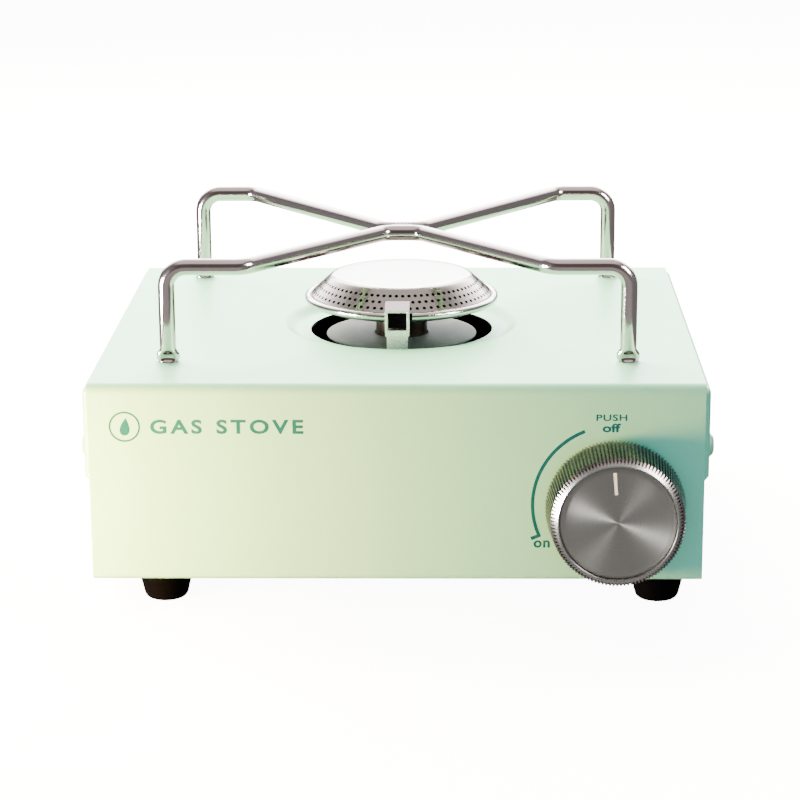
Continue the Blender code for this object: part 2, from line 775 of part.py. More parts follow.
def make_burner_bracket(material):
    """Sheet bridge that carries the burner: two legs with feet, and a top with a hole for the neck."""
    half_x = 10 * MM
    half_y = 14 * MM
    foot = 9 * MM
    low = FLOOR_TOP_Z + GAP
    top = REFLECTOR_Z - GAP
    outline = [
        (-half_y - foot, low),
        (-half_y + SHEET, low),
        (-half_y + SHEET, top - SHEET),
        (half_y - SHEET, top - SHEET),
        (half_y - SHEET, low),
        (half_y + foot, low),
        (half_y + foot, low + SHEET),
        (half_y, low + SHEET),
        (half_y, top),
        (-half_y, top),
        (-half_y, low + SHEET),
        (-half_y - foot, low + SHEET),
    ]
    bracket = extruded(
        "burner_bracket",
        outline,
        (2 * half_x, 0, 0),
        material,
        lambda y, z: (BURNER_X - half_x, BURNER_Y + y, z),
    )
    holes = [
        ((x, y, low - MM), (x, y, low + 3 * MM), SCREW_HOLE) for x, y in burner_screw_places()
    ]
    neck = (
        (BURNER_X, BURNER_Y, top - 4 * MM),
        (BURNER_X, BURNER_Y, top + 2 * MM),
        NECK_RADIUS + GAP,
    )
    boolean(bracket, cutter_object("cutter_bracket_holes", (), holes + [neck]))


def make_ignition_parts(materials):
    half = SHIELD_WIDTH / 2
    front = TAB_Y - 0.9 * MM
    hood_back = BURNER_Y - HEAD_BASE_RADIUS - GAP
    hood_z = RIM_Z + 2.2 * MM
    foot_z = REFLECTOR_Z - 8 * MM
    wall_low = RIM_Z - 4.2 * MM
    hood = bmesh.new()
    corners = add_box_to(hood, (-half, front, hood_z), (half, hood_back, hood_z + SHIELD_SHEET))
    for corner in corners:
        if corner.co.y > front + MM:
            corner.co.z += 1.0 * MM
    shield = object_from_bmesh(hood, "electrode_shield", materials["stainless"])
    pieces = [
        ((-half, front, wall_low), (-half + SHIELD_SHEET, hood_back - 0.6 * MM, hood_z + 0.5 * MM)),
        ((half - SHIELD_SHEET, front, wall_low), (half, hood_back - 0.6 * MM, hood_z + 0.5 * MM)),
        ((-half + 0.05 * MM, front + 0.1 * MM, wall_low - 1.2 * MM),
         (half - 0.05 * MM, TAB_Y + 0.5 * MM, wall_low + 0.6 * MM)),
        ((-TAB_WIDTH / 2, TAB_Y, foot_z), (TAB_WIDTH / 2, TAB_Y + SHIELD_SHEET, wall_low)),
        ((-TAB_WIDTH / 2 + 0.05 * MM, TAB_Y + 0.1 * MM, foot_z + 0.05 * MM),
         (TAB_WIDTH / 2 - 0.05 * MM, BURNER_Y - 14 * MM - GAP, foot_z + SHIELD_SHEET)),
    ]
    for number, (low, high) in enumerate(pieces, start=1):
        tool = cutter_object(f"tool_shield_{number}", [(low, high)])
        boolean(shield, tool, "UNION")
    insulator_radius = 2.25 * MM
    hole = (
        (BURNER_X, ELECTRODE_Y, foot_z - 2 * MM),
        (BURNER_X, ELECTRODE_Y, foot_z + 3 * MM),
        insulator_radius + 0.4 * MM,
    )
    boolean(shield, cutter_object("cutter_insulator_hole", (), [hole]))

    low = BOTTOM_Z + 37 * MM
    insulator = [
        (0.9 * MM, low),
        (insulator_radius, low),
        (insulator_radius, low + 20 * MM),
        (0.9 * MM, low + 20 * MM),
    ]
    place = (BURNER_X, ELECTRODE_Y, 0)
    turned("electrode_insulator", insulator, materials["ceramic"], place, segments=16)
    rod = [Vector((BURNER_X, ELECTRODE_Y, low)), Vector((BURNER_X, ELECTRODE_Y, RIM_Z - 4 * MM))]
    tube("electrode_tip", rod, 0.6 * MM, materials["stainless"], sides=8)

    route = [
        (IGNITER_BACK_X - GAP, IGNITER_Y, KNOB_Z),
        (18 * MM, IGNITER_Y, KNOB_Z - 1.5 * MM),
        (8 * MM, IGNITER_Y + 6 * MM, KNOB_Z - 6 * MM),
        (2 * MM, IGNITER_Y + 22 * MM, KNOB_Z - 10 * MM),
        (0, ELECTRODE_Y - 7 * MM, KNOB_Z - 6 * MM),
        (0, ELECTRODE_Y, KNOB_Z + 4 * MM),
        (0, ELECTRODE_Y, low - GAP),
    ]
    tube("ignition_lead", smooth_path(route, 5), 1.1 * MM, materials["cable"], sides=6)


# ---------------------------------------------------------------- igniter, knob and valve


def cam_outline():
    """Spiral that lifts the plunger evenly over the knob's turn, then drops to the base circle."""
    points = []
    rise_steps = 12
    for step in range(rise_steps + 1):
        share = step / rise_steps
        points.append((math.pi - TURN_RANGE * share, CAM_RADIUS + PLUNGER_TRAVEL * share))
    drop_end = math.pi - TURN_RANGE - CAM_TAIL
    base_steps = 12
    base_sweep = 2 * math.pi - TURN_RANGE - CAM_TAIL
    for step in range(base_steps):
        points.append((drop_end - base_sweep * step / base_steps, CAM_RADIUS))
    return [(radius * math.cos(angle), radius * math.sin(angle)) for angle, radius in points]


def make_igniter(materials):
    half = IGNITER_SIZE / 2
    body = box(
        "igniter_body",
        (IGNITER_BACK_X, IGNITER_Y - half, KNOB_Z - half),
        (IGNITER_FRONT_X, IGNITER_Y + half, KNOB_Z + half),
        materials["black_plastic"],
        bevel=0.8 * MM,
    )
    bore_half = PLUNGER_SIZE / 2 + GAP
    bore = (
        (IGNITER_BACK_X + 8 * MM, IGNITER_Y - bore_half, KNOB_Z - bore_half),
        (IGNITER_FRONT_X + 2 * MM, IGNITER_Y + bore_half, KNOB_Z + bore_half),
    )
    boolean(body, cutter_object("cutter_igniter_bore", [bore]))
    half = PLUNGER_SIZE / 2
    box(
        "igniter_plunger",
        (IGNITER_BACK_X + 13 * MM, IGNITER_Y - half, KNOB_Z - half),
        (KNOB_X - CAM_RADIUS - PLUNGER_GAP, IGNITER_Y + half, KNOB_Z + half),
        materials["brass"],
    )


def make_knob(materials):
    """Knob pieces hang on an empty on the turning axis; heights run forwards from the front face."""
    axis = bpy.data.objects.new("knob_axis", None)
    axis.location = (KNOB_X, FRONT_Y, KNOB_Z)
    bpy.context.scene.collection.objects.link(axis)
    rim = KNOB_REACH
    face_back = rim - 2.3 * MM
    shell = [
        (KNOB_BACK_RADIUS, KNOB_BACK_GAP),
        (KNOB_FRONT_RADIUS, rim - 0.8 * MM),
        (KNOB_FRONT_RADIUS - 0.6 * MM, rim),
        (KNOB_FACE_RADIUS + 0.4 * MM, rim),
        (KNOB_FACE_RADIUS + 0.2 * MM, rim - 0.3 * MM),
        (KNOB_FACE_RADIUS + 0.2 * MM, face_back - GAP),
        (7.3 * MM, face_back - GAP),
        (7.3 * MM, rim - 6.0 * MM),
        (KNOB_FRONT_RADIUS - 1.8 * MM, rim - 6.0 * MM),
        (KNOB_BACK_RADIUS - 1.9 * MM, KNOB_BACK_GAP),
    ]
    face = [
        (0.0, face_back),
        (KNOB_FACE_RADIUS - 0.1 * MM, face_back),
        (KNOB_FACE_RADIUS - 0.1 * MM, rim - 1.2 * MM),
        (0.0, rim - 1.2 * MM),
    ]
    spindle_end = rim - 6.0 * MM
    hub = [
        (0.0, face_back - GAP),
        (0.0, spindle_end + GAP),
        (SPINDLE_RADIUS + GAP, spindle_end + GAP),
        (SPINDLE_RADIUS + GAP, KNOB_BACK_GAP),
        (7.0 * MM, KNOB_BACK_GAP),
        (7.0 * MM, face_back - GAP),
    ]
    spindle = [
        (0.0, spindle_end),
        (SPINDLE_RADIUS, spindle_end),
        (SPINDLE_RADIUS, -30 * MM),
        (0.0, -30 * MM),
    ]
    pieces = [
        turned("knob_shell", shell, materials["aluminium"], axis="-Y", segments=40),
        turned("knob_face", face, materials["aluminium"], axis="-Y", segments=40),
        turned("knob_hub", hub, materials["black_plastic"], axis="-Y", segments=20),
        turned("spindle", spindle, materials["brass"], axis="-Y", segments=16),
    ]
    cam_y = CAM_Y - FRONT_Y
    cam = extruded(
        "ignition_cam",
        cam_outline(),
        (0, CAM_THICKNESS, 0),
        materials["black_plastic"],
        lambda x, z: (x, cam_y, z),
    )
    bore = cutter_object(
        "cutter_cam_bore", (), [((0, cam_y - MM, 0), (0, cam_y + 9 * MM, 0), SPINDLE_RADIUS + GAP)]
    )
    boolean(cam, bore)
    pieces += [cam, bore]
    collar_y = cam_y + CAM_THICKNESS + GAP
    collar = [
        (SPINDLE_RADIUS + GAP, 0.0),
        (6.6 * MM, 0.0),
        (6.6 * MM, 1.2 * MM),
        (SPINDLE_RADIUS + GAP, 1.2 * MM),
    ]
    pieces.append(
        turned("thrust_collar", collar, materials["zinc_steel"], (0, collar_y, 0), "+Y", 20)
    )
    for piece in pieces:
        piece.parent = axis
    make_return_spring(FRONT_Y + collar_y + 1.2 * MM + GAP, materials["zinc_steel"])


def make_return_spring(start_y, material):
    """Helix round the spindle between the collar and the valve's front face."""
    turns = 4
    steps = 10
    wire = 0.45 * MM
    coil_radius = 4.8 * MM
    first = start_y + wire
    last = VALVE_FRONT_Y - GAP - wire
    path = []
    for step in range(turns * steps + 1):
        share = step / (turns * steps)
        angle = 2 * math.pi * turns * share
        y = first + (last - first) * share
        path.append(
            Vector((KNOB_X + coil_radius * math.cos(angle), y, KNOB_Z + coil_radius * math.sin(angle)))
        )
    tube("return_spring", path, wire, material, sides=5)


def channel(name, centre_x, front_y, back_y, top_z, material):
    """Inverted U of sheet metal that stands on the base pan."""
    half = 8 * MM
    low = FLOOR_TOP_Z + GAP
    outline = [
        (-half, low),
        (-half + SHEET, low),
        (-half + SHEET, top_z - SHEET),
        (half - SHEET, top_z - SHEET),
        (half - SHEET, low),
        (half, low),
        (half, top_z),
        (-half, top_z),
    ]
    extruded(name, outline, (0, back_y - front_y, 0), material, lambda x, z: (centre_x + x, front_y, z))


def make_valve(materials):
    half = VALVE_SIZE / 2
    valve = box(
        "valve_body",
        (KNOB_X - half, VALVE_FRONT_Y, KNOB_Z - half),
        (KNOB_X + half, VALVE_BACK_Y, KNOB_Z + half),
        materials["brass"],
        bevel=1.5 * MM,
    )
    bore = (
        (KNOB_X, VALVE_FRONT_Y - MM, KNOB_Z),
        (KNOB_X, VALVE_FRONT_Y + 12 * MM, KNOB_Z),
        SPINDLE_RADIUS + GAP,
    )
    boolean(valve, cutter_object("cutter_valve_bore", (), [bore]))
    channel(
        "valve_bracket",
        KNOB_X,
        VALVE_FRONT_Y + 2 * MM,
        VALVE_BACK_Y - 2 * MM,
        KNOB_Z - half - GAP,
        materials["zinc_steel"],
    )
    pipe_x = KNOB_X - 5.5 * MM
    jet_x = 48.5 * MM
    corners = [
        (pipe_x, VALVE_BACK_Y + GAP, GAS_LINE_Z),
        (pipe_x, BURNER_Y, GAS_LINE_Z),
        (jet_x + GAP, BURNER_Y, GAS_LINE_Z),
    ]
    tube("gas_pipe", filleted_path(corners, [7 * MM], 5), 2 * MM, materials["brass"], 12)
    jet = [
        (0.0, 0.0),
        (4.0 * MM, 0.0),
        (4.0 * MM, 6.0 * MM),
        (2.0 * MM, 7.5 * MM),
        (2.0 * MM, 10.0 * MM),
        (0.0, 10.0 * MM),
    ]
    turned("jet_nozzle", jet, materials["brass"], (jet_x, BURNER_Y, GAS_LINE_Z), "-X", 12)


# ---------------------------------------------------------------- regulator and cartridge socket
def make_regulator(materials):
    centre = (KNOB_X, PORT_FACE_Y, KNOB_Z)
    body_length = 32 * MM
    body = [
        (0.0, 0.0),
        (REGULATOR_RADIUS, 0.0),
        (REGULATOR_RADIUS, 22 * MM),
        (12 * MM, 24 * MM),
        (12 * MM, body_length),
        (0.0, body_length),
    ]
    turned("regulator_body", body, materials["cast_aluminium"], centre, "-Y", 28)
    cap = [
        (0.0, 0.0),
        (14 * MM, 0.0),
        (16 * MM, 1.5 * MM),
        (16 * MM, 4.5 * MM),
        (9 * MM, 6.0 * MM),
        (0.0, 6.0 * MM),
    ]
    cap_place = (KNOB_X, PORT_FACE_Y - 17 * MM, KNOB_Z + REGULATOR_RADIUS + GAP)
    turned("regulator_cap", cap, materials["cast_aluminium"], cap_place, segments=24)
    channel(
        "regulator_bracket",
        KNOB_X,
        PORT_FACE_Y - 18 * MM,
        PORT_FACE_Y - 4 * MM,
        KNOB_Z - REGULATOR_RADIUS - GAP,
        materials["zinc_steel"],
    )
    ring_length = BACK_Y + REAR_REACH - PORT_FACE_Y
    ring = [
        (MAGNET_INNER, GAP),
        (MAGNET_OUTER, GAP),
        (MAGNET_OUTER, ring_length),
        (MAGNET_INNER, ring_length),
    ]
    turned("magnet_ring", ring, materials["magnet"], centre, "+Y", 28)
    nozzle = [
        (0.0, GAP),
        (3.0 * MM, GAP),
        (3.0 * MM, 4.0 * MM),
        (1.8 * MM, 5.0 * MM),
        (1.8 * MM, 7.0 * MM),
        (0.0, 7.0 * MM),
    ]
    turned("cartridge_nozzle", nozzle, materials["brass"], centre, "+Y", 16)
    seal = [
        (3.3 * MM, GAP),
        (5.8 * MM, GAP),
        (5.8 * MM, 2.5 * MM),
        (3.3 * MM, 2.5 * MM),
    ]
    turned("nozzle_seal", seal, materials["rubber"], centre, "+Y", 16)
    box(
        "cartridge_locator",
        (KNOB_X - 2 * MM, PORT_FACE_Y + GAP, KNOB_Z + 9.5 * MM),
        (KNOB_X + 2 * MM, BACK_Y - 1.2 * MM, KNOB_Z + 12 * MM),
        materials["zinc_steel"],
    )
    pipe_x = KNOB_X + 5.7 * MM
    ends = [
        Vector((pipe_x, VALVE_BACK_Y + GAP, KNOB_Z)),
        Vector((pipe_x, PORT_FACE_Y - body_length - GAP, KNOB_Z)),
    ]
    tube("supply_pipe", ends, 2.5 * MM, materials["brass"], 12)


def main():
    clear_scene()
    materials = make_materials()
    coat = materials["powder_coat"]
    make_top_cover(coat)
    make_base_pan(materials["zinc_steel"])
    make_side_panel("left_side_panel", -1, coat)
    make_side_panel("right_side_panel", 1, coat)
    make_rear_panel(coat)
    make_feet(materials)
    make_fasteners(materials["zinc_steel"])
    make_leg_guides(materials["zinc_steel"])
    make_pan_support(materials["stainless"])
    make_burner(materials)
    make_igniter(materials)
    make_knob(materials)
    make_valve(materials)
    make_regulator(materials)


main()
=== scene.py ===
"""Looks of a compact gas camping stove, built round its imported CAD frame.

Every piece that shows gets its finished mesh and its finish here. Inner pieces keep the frame's
shape and get a finish. Lengths are in metres, written as millimetres times MM.
"""

import math

import bmesh
import bpy
from mathutils import Matrix, Vector


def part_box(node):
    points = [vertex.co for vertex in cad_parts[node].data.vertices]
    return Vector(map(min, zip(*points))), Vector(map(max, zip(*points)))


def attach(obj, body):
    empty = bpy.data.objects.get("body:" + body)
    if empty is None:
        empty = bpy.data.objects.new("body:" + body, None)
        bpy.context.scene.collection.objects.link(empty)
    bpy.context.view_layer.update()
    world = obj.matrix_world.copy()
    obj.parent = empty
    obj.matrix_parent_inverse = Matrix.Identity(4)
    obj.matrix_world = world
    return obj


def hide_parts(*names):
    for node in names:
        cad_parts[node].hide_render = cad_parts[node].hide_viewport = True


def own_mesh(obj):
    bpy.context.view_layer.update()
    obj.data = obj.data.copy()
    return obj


bl_info = {
    "name": "Camping stove looks",
    "version": (1, 0, 0),
    "blender": (4, 5, 0),
    "location": "3D View > Sidebar > Stove",
    "description": "Builds the finished pieces and finishes of a compact gas camping stove",
    "category": "Object",
}

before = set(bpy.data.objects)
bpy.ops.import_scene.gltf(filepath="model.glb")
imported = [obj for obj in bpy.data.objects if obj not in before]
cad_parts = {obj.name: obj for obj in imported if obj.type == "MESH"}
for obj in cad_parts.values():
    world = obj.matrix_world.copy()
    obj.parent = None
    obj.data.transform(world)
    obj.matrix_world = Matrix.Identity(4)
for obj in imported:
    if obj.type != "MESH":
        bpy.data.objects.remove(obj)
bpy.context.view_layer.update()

MM = 0.001
SMOOTH_ANGLE = 35.0  # degrees; turned pieces stay sharp at bends past this

# ---------------------------------------------------------------- places read from the frame
SHELL = "body_shell"
SUPPORT = "pan_support"
KNOB = "knob"


def middle(node):
    low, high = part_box(node)
    return (Vector(low) + Vector(high)) / 2


COVER_LOW, COVER_HIGH = (Vector(corner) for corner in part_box("top_cover"))
FRONT_Y, BACK_Y = COVER_LOW.y, COVER_HIGH.y
BOTTOM_Z, TOP_Z = COVER_LOW.z, COVER_HIGH.z
COVER_HALF = COVER_HIGH.x
SIDE_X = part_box("right_side_panel")[1][0]
BURNER = middle("reflector_plate")
RIM_LOW, RIM_HIGH = (Vector(corner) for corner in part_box("burner_bowl"))
CAP_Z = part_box("burner_head")[1][2]
KNOB_CENTRE = middle("knob_shell")
KNOB_REACH = FRONT_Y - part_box("knob_shell")[0][1]
KNOB_BACK_GAP = FRONT_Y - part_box("knob_shell")[1][1]
WIRE_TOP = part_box("front_wire")[1][2]
FRONT_LEG_Y = middle("leg_guide_front_left").y
REAR_LEG_Y = middle("leg_guide_rear_left").y
LEG_X = middle("leg_guide_front_right").x
PORT = middle("magnet_ring")
SHEET = 1.0 * MM


# ---------------------------------------------------------------- colours and settings
def linear(hex_colour):
    """Linear RGBA of an sRGB hex colour."""
    channels = [int(hex_colour[i : i + 2], 16) / 255 for i in (0, 2, 4)]
    return (*[c / 12.92 if c <= 0.04045 else ((c + 0.055) / 1.055) ** 2.4 for c in channels], 1.0)


def colour_property(name, description, hex_colour):
    return bpy.props.FloatVectorProperty(
        name=name, description=description, subtype="COLOR", size=4, min=0, max=1,
        default=linear(hex_colour),
    )


def length_property(name, description, millimetres):
    return bpy.props.FloatProperty(
        name=name, description=description, unit="LENGTH", default=millimetres * MM, min=0
    )


class StoveSizes(bpy.types.PropertyGroup):
    """Sizes that the frame doesn't settle."""

    wire_radius: length_property("Wire radius", "Half the thickness of the support wires", 2.5)
    knurl_count: bpy.props.IntProperty(
        name="Knurl ridges", description="Ridges round the knob", default=112, min=12
    )
    hole_count: bpy.props.IntProperty(
        name="Holes per row", description="Flame holes in each row", default=78, min=12
    )
    hole_radius: length_property("Hole radius", "Radius of one flame hole", 0.56)
    edge_round: length_property("Edge rounding", "Rounding of cut sheet edges", 0.2)


class StoveColours(bpy.types.PropertyGroup):
    """Colours of the finishes."""

    coat: colour_property("Coat", "Mint powder coat", "8FD8B1")
    coat_shade: colour_property("Coat shade", "Slightly deeper mint of the coat's grain", "8AD4AC")
    ink: colour_property("Ink", "Teal of the printed marks", "135559")
    steel: colour_property("Stainless", "Polished stainless steel", "C9C4BC")
    aluminium: colour_property("Aluminium", "Bare aluminium of the knob", "A5A29C")
    rubber: colour_property("Rubber", "Black rubber of the feet", "030303")
    floor: colour_property("Floor", "Studio floor", "F4F4F2")


# ---------------------------------------------------------------- node helper and finishes
def add_node(tree, kind, inputs=None, **settings):
    """Adds a node, sets its settings, and gives each named input a value or a link."""
    node = tree.nodes.new(kind)
    for name, value in settings.items():
        setattr(node, name, value)
    for name, value in (inputs or {}).items():
        if isinstance(value, bpy.types.NodeSocket):
            tree.links.new(value, node.inputs[name])
        else:
            node.inputs[name].default_value = value
    return node


def new_finish(name):
    """A material with an empty Principled shader: returns material, tree, shader, coordinates."""
    material = bpy.data.materials.new(name)
    material.use_nodes = True
    tree = material.node_tree
    tree.nodes.clear()
    shader = add_node(tree, "ShaderNodeBsdfPrincipled")
    add_node(tree, "ShaderNodeOutputMaterial", {"Surface": shader.outputs["BSDF"]})
    place = add_node(tree, "ShaderNodeTexCoord").outputs["Object"]
    return material, tree, shader, place


def per_mm(millimetres):
    """Texture scale whose features are this many millimetres across."""
    return 1.0 / (millimetres * MM)


def noise(tree, place, size_mm, detail=2.0):
    return add_node(
        tree, "ShaderNodeTexNoise",
        {"Vector": place, "Scale": per_mm(size_mm), "Detail": detail, "Roughness": 0.5},
    ).outputs["Fac"]


def stretched(tree, place, scale):
    """Coordinates scaled by one factor per axis, for grain that runs one way."""
    return add_node(
        tree, "ShaderNodeMapping", {"Vector": place, "Scale": scale}
    ).outputs["Vector"]


def spread(tree, value, low, high):
    """Maps a 0 to 1 pattern to the range low to high."""
    return add_node(
        tree, "ShaderNodeMapRange",
        {"Value": value, "From Min": 0.25, "From Max": 0.75, "To Min": low, "To Max": high},
    ).outputs["Result"]


def share_of(tree, value, low, high):
    """Smooth step of a value between two limits, 0 to 1."""
    return add_node(
        tree, "ShaderNodeMapRange",
        {"Value": value, "From Min": low, "From Max": high, "To Min": 0.0, "To Max": 1.0},
        interpolation_type="SMOOTHSTEP",
    ).outputs["Result"]


def blend_colours(tree, share, first, second):
    inputs = {"Factor": share, "A": first, "B": second}
    return add_node(tree, "ShaderNodeMix", inputs, data_type="RGBA").outputs["Result"]


def bump(tree, height, depth_mm, below=None):
    inputs = {"Height": height, "Distance": depth_mm * MM, "Strength": 1.0}
    if below is not None:
        inputs["Normal"] = below
    return add_node(tree, "ShaderNodeBump", inputs).outputs["Normal"]


def shade(colour, factor):
    return (*[min(channel * factor, 1.0) for channel in colour[:3]], 1.0)


def metal(name, colour, roughness, grain_mm, grain_depth_mm, stretch=(1, 1, 1), variation=0.06):
    """Bare metal: grain that runs as the tool or die left it, in roughness and in a fine bump."""
    material, tree, shader, place = new_finish(name)
    grain = noise(tree, stretched(tree, place, stretch), grain_mm, 3.0)
    clouds = noise(tree, place, grain_mm * 22)
    tint = blend_colours(tree, clouds, shade(colour, 1 - variation), shade(colour, 1 + variation))
    tree.links.new(tint, shader.inputs["Base Color"])
    shader.inputs["Metallic"].default_value = 1.0
    uneven = spread(tree, grain, roughness * 0.75, roughness * 1.25)
    tree.links.new(uneven, shader.inputs["Roughness"])
    tree.links.new(bump(tree, grain, grain_depth_mm), shader.inputs["Normal"])
    return material


def dull(name, colour, roughness, grain_mm, grain_depth_mm, variation=0.08, specular=0.5, ior=1.5):
    """Painted, moulded or fired surface: two scales of grain in colour, roughness and bump."""
    material, tree, shader, place = new_finish(name)
    fine = noise(tree, place, grain_mm, 3.0)
    broad = noise(tree, place, grain_mm * 6)
    tint = blend_colours(tree, fine, shade(colour, 1 - variation), shade(colour, 1 + variation))
    tree.links.new(tint, shader.inputs["Base Color"])
    shader.inputs["Specular IOR Level"].default_value = specular
    shader.inputs["IOR"].default_value = ior
    tree.links.new(spread(tree, broad, roughness * 0.9, roughness * 1.1), shader.inputs["Roughness"])
    coarse_normal = bump(tree, broad, grain_depth_mm * 2)
    tree.links.new(bump(tree, fine, grain_depth_mm, below=coarse_normal), shader.inputs["Normal"])
    return material


def powder_coat(colours):
    """Polyester powder coat, sprayed and baked: satin, with a faint orange peel about 1.4 mm wide."""
    material, tree, shader, place = new_finish("mint_powder_coat")
    peel = noise(tree, place, 1.4)
    grain = noise(tree, place, 0.35, 3.0)
    tint = blend_colours(tree, grain, tuple(colours.coat_shade), tuple(colours.coat))
    tree.links.new(tint, shader.inputs["Base Color"])
    tree.links.new(spread(tree, peel, 0.36, 0.44), shader.inputs["Roughness"])
    shader.inputs["IOR"].default_value = 1.5
    peel_normal = bump(tree, peel, 0.012)
    tree.links.new(bump(tree, grain, 0.005, below=peel_normal), shader.inputs["Normal"])
    return material


def knurled_aluminium(colours):
    """Turned aluminium with cut ridges: painted shade on the cut ridges, near black in the grooves; the
    chamfer keeps the bare aluminium.
    """
    material, tree, shader, place = new_finish("knurled_aluminium")
    crest = add_node(tree, "ShaderNodeAttribute", attribute_name="crest").outputs["Fac"]
    grain = noise(tree, place, 0.25, 3.0)
    # painted shade: near black in the grooves, brown-grey on the ridge tops
    cut = blend_colours(tree, share_of(tree, crest, 0.25, 0.7), linear("120E0C"), linear("7C6C6A"))
    tint = blend_colours(tree, share_of(tree, crest, 0.7, 1.0), cut, tuple(colours.aluminium))
    tree.links.new(tint, shader.inputs["Base Color"])
    shader.inputs["Metallic"].default_value = 1.0
    tree.links.new(spread(tree, grain, 0.22, 0.34), shader.inputs["Roughness"])
    tree.links.new(bump(tree, grain, 0.004), shader.inputs["Normal"])
    return material


def spun_aluminium(colours):
    """Aluminium faced on a lathe: rings about 0.25 mm apart that spread light across them."""
    material, tree, shader, place = new_finish("spun_aluminium")
    centred = add_node(
        tree, "ShaderNodeMapping", {"Vector": place, "Location": -KNOB_CENTRE}
    ).outputs["Vector"]
    flat = add_node(
        tree, "ShaderNodeVectorMath", {0: centred, 1: (1.0, 0.0, 1.0)}, operation="MULTIPLY"
    ).outputs["Vector"]
    radius = add_node(
        tree, "ShaderNodeVectorMath", {0: flat}, operation="LENGTH"
    ).outputs["Value"]
    rings = add_node(
        tree, "ShaderNodeTexNoise",
        {"W": radius, "Scale": per_mm(0.28), "Detail": 4.0, "Roughness": 0.7},
        noise_dimensions="1D",
    ).outputs["Fac"]
    colour = tuple(colours.aluminium)
    tint = blend_colours(tree, rings, shade(colour, 0.78), shade(colour, 1.0))
    tree.links.new(tint, shader.inputs["Base Color"])
    shader.inputs["Metallic"].default_value = 1.0
    shader.inputs["Anisotropic"].default_value = 0.85
    shader.inputs["Anisotropic Rotation"].default_value = 0.25
    tree.links.new(spread(tree, rings, 0.26, 0.38), shader.inputs["Roughness"])
    tangent = add_node(tree, "ShaderNodeTangent", direction_type="UV_MAP", uv_map="turning")
    tree.links.new(tangent.outputs["Tangent"], shader.inputs["Tangent"])
    tree.links.new(bump(tree, rings, 0.012), shader.inputs["Normal"])
    return material


def printing_ink(colours):
    """Pad-printed epoxy ink: flat, with the slight unevenness of a pad print."""
    return dull("pad_print_ink", tuple(colours.ink), 0.5, 0.3, 0.002, 0.05, 0.5, 1.12)


def make_finishes(colours):
    """All finishes by name. The numbers are colour, roughness, grain width and grain depth in mm."""
    steel = tuple(colours.steel)
    grey = linear("9A9C9E")
    return {
        "coat": powder_coat(colours),
        # drawn stainless wire, electropolished: long soft streaks along the wire
        "wire": metal("electropolished_stainless", linear("C8B6B4"), 0.13, 0.5, 0.002, (0.2, 1, 1)),
        # stamped stainless sheet, bright: a trace of the press in its sheen
        "stamped": metal("stamped_stainless", steel, 0.15, 1.6, 0.0015, variation=0.03),
        # the pierced cone, straw to grey from the heat
        "worn": metal("heat_tinted_stainless", linear("A0958E"), 0.2, 1.6, 0.0015, variation=0.06),
        # rolled steel sheet, dulled by a thin scale from the heat
        "satin": dull("heat_scaled_steel", linear("6A6A69"), 0.6, 0.4, 0.004, 0.12, 0.5, 1.2),
        # near black on the inner faces of the casing and on the vent sheet: painted shade
        "inner": dull("black_heat_proof_paint", linear("080908"), 0.7, 0.5, 0.01, 0.15, 0.5, 1.1),
        # nickel plate over steel: the clip
        "nickel": metal("nickel_plated_steel", linear("F0D9DC"), 0.3, 0.6, 0.002, variation=0.03),
        # zinc plate on pressed steel: fine spangle
        "zinc": metal("zinc_plated_steel", grey, 0.34, 1.2, 0.004, variation=0.14),
        # near black inside the burner and behind the clip's window: painted shade
        "shade_black": dull("sooted_steel", linear("060505"), 0.8, 0.4, 0.004, 0.2, 0.5, 1.04),
        "knurl": knurled_aluminium(colours),
        "spun": spun_aluminium(colours),
        # die-cast aluminium: a sandy skin
        "cast": metal("die_cast_aluminium", linear("8B8C8E"), 0.5, 0.5, 0.02, variation=0.1),
        "brass": metal("turned_brass", linear("C9A556"), 0.27, 0.3, 0.004),
        "dark_steel": metal("heat_browned_steel", linear("5A4C42"), 0.34, 0.5, 0.004),
        # natural rubber, moulded against a blasted tool
        "rubber": dull("moulded_rubber", tuple(colours.rubber), 0.6, 0.25, 0.006, 0.2, 0.5, 1.06),
        "plastic": dull("moulded_black_nylon", linear("202022"), 0.48, 0.3, 0.006, 0.12),
        "ceramic": dull("glazed_alumina", linear("E9E6DC"), 0.22, 0.6, 0.002, 0.03),
        # sintered ferrite: near black with a metallic fleck
        "ferrite": dull("sintered_ferrite", linear("2C2C30"), 0.4, 0.2, 0.004, 0.25),
        "silicone": dull("silicone_sleeve", linear("8C2A1C"), 0.5, 0.5, 0.004),
        "ink": printing_ink(colours),
        "paint": dull("white_paint", linear("F2F1EC"), 0.4, 0.3, 0.002, 0.03),
    }


FINISHES = {}


# ---------------------------------------------------------------- mesh helpers
def arc(centre, radius, start_degrees, end_degrees, steps):
    """Points of an arc in the plane, from one angle to the other."""
    points = []
    for step in range(steps + 1):
        angle = math.radians(start_degrees + (end_degrees - start_degrees) * step / steps)
        points.append((centre[0] + radius * math.cos(angle), centre[1] + radius * math.sin(angle)))
    return points


def softened(outline, radius, steps=3):
    """Closed outline with each corner rounded; points on the turning axis stay sharp."""
    points = [Vector(p) for p in outline]
    result = []
    for i, corner in enumerate(points):
        before, after = points[i - 1], points[(i + 1) % len(points)]
        if corner.x < 1e-7:
            result.append(corner)
            continue
        reach_in = min(radius, 0.4 * (corner - before).length)
        reach_out = min(radius, 0.4 * (after - corner).length)
        start = corner + (before - corner).normalized() * reach_in
        end = corner + (after - corner).normalized() * reach_out
        for step in range(steps + 1):
            t = step / steps
            result.append(start * (1 - t) ** 2 + corner * 2 * t * (1 - t) + end * t**2)
    return [(p.x, p.y) for p in result]


def shown_object(name, mesh, finish):
    obj = bpy.data.objects.new(name, mesh)
    mesh.materials.clear()
    mesh.materials.append(FINISHES[finish])
    bpy.context.scene.collection.objects.link(obj)
    return obj


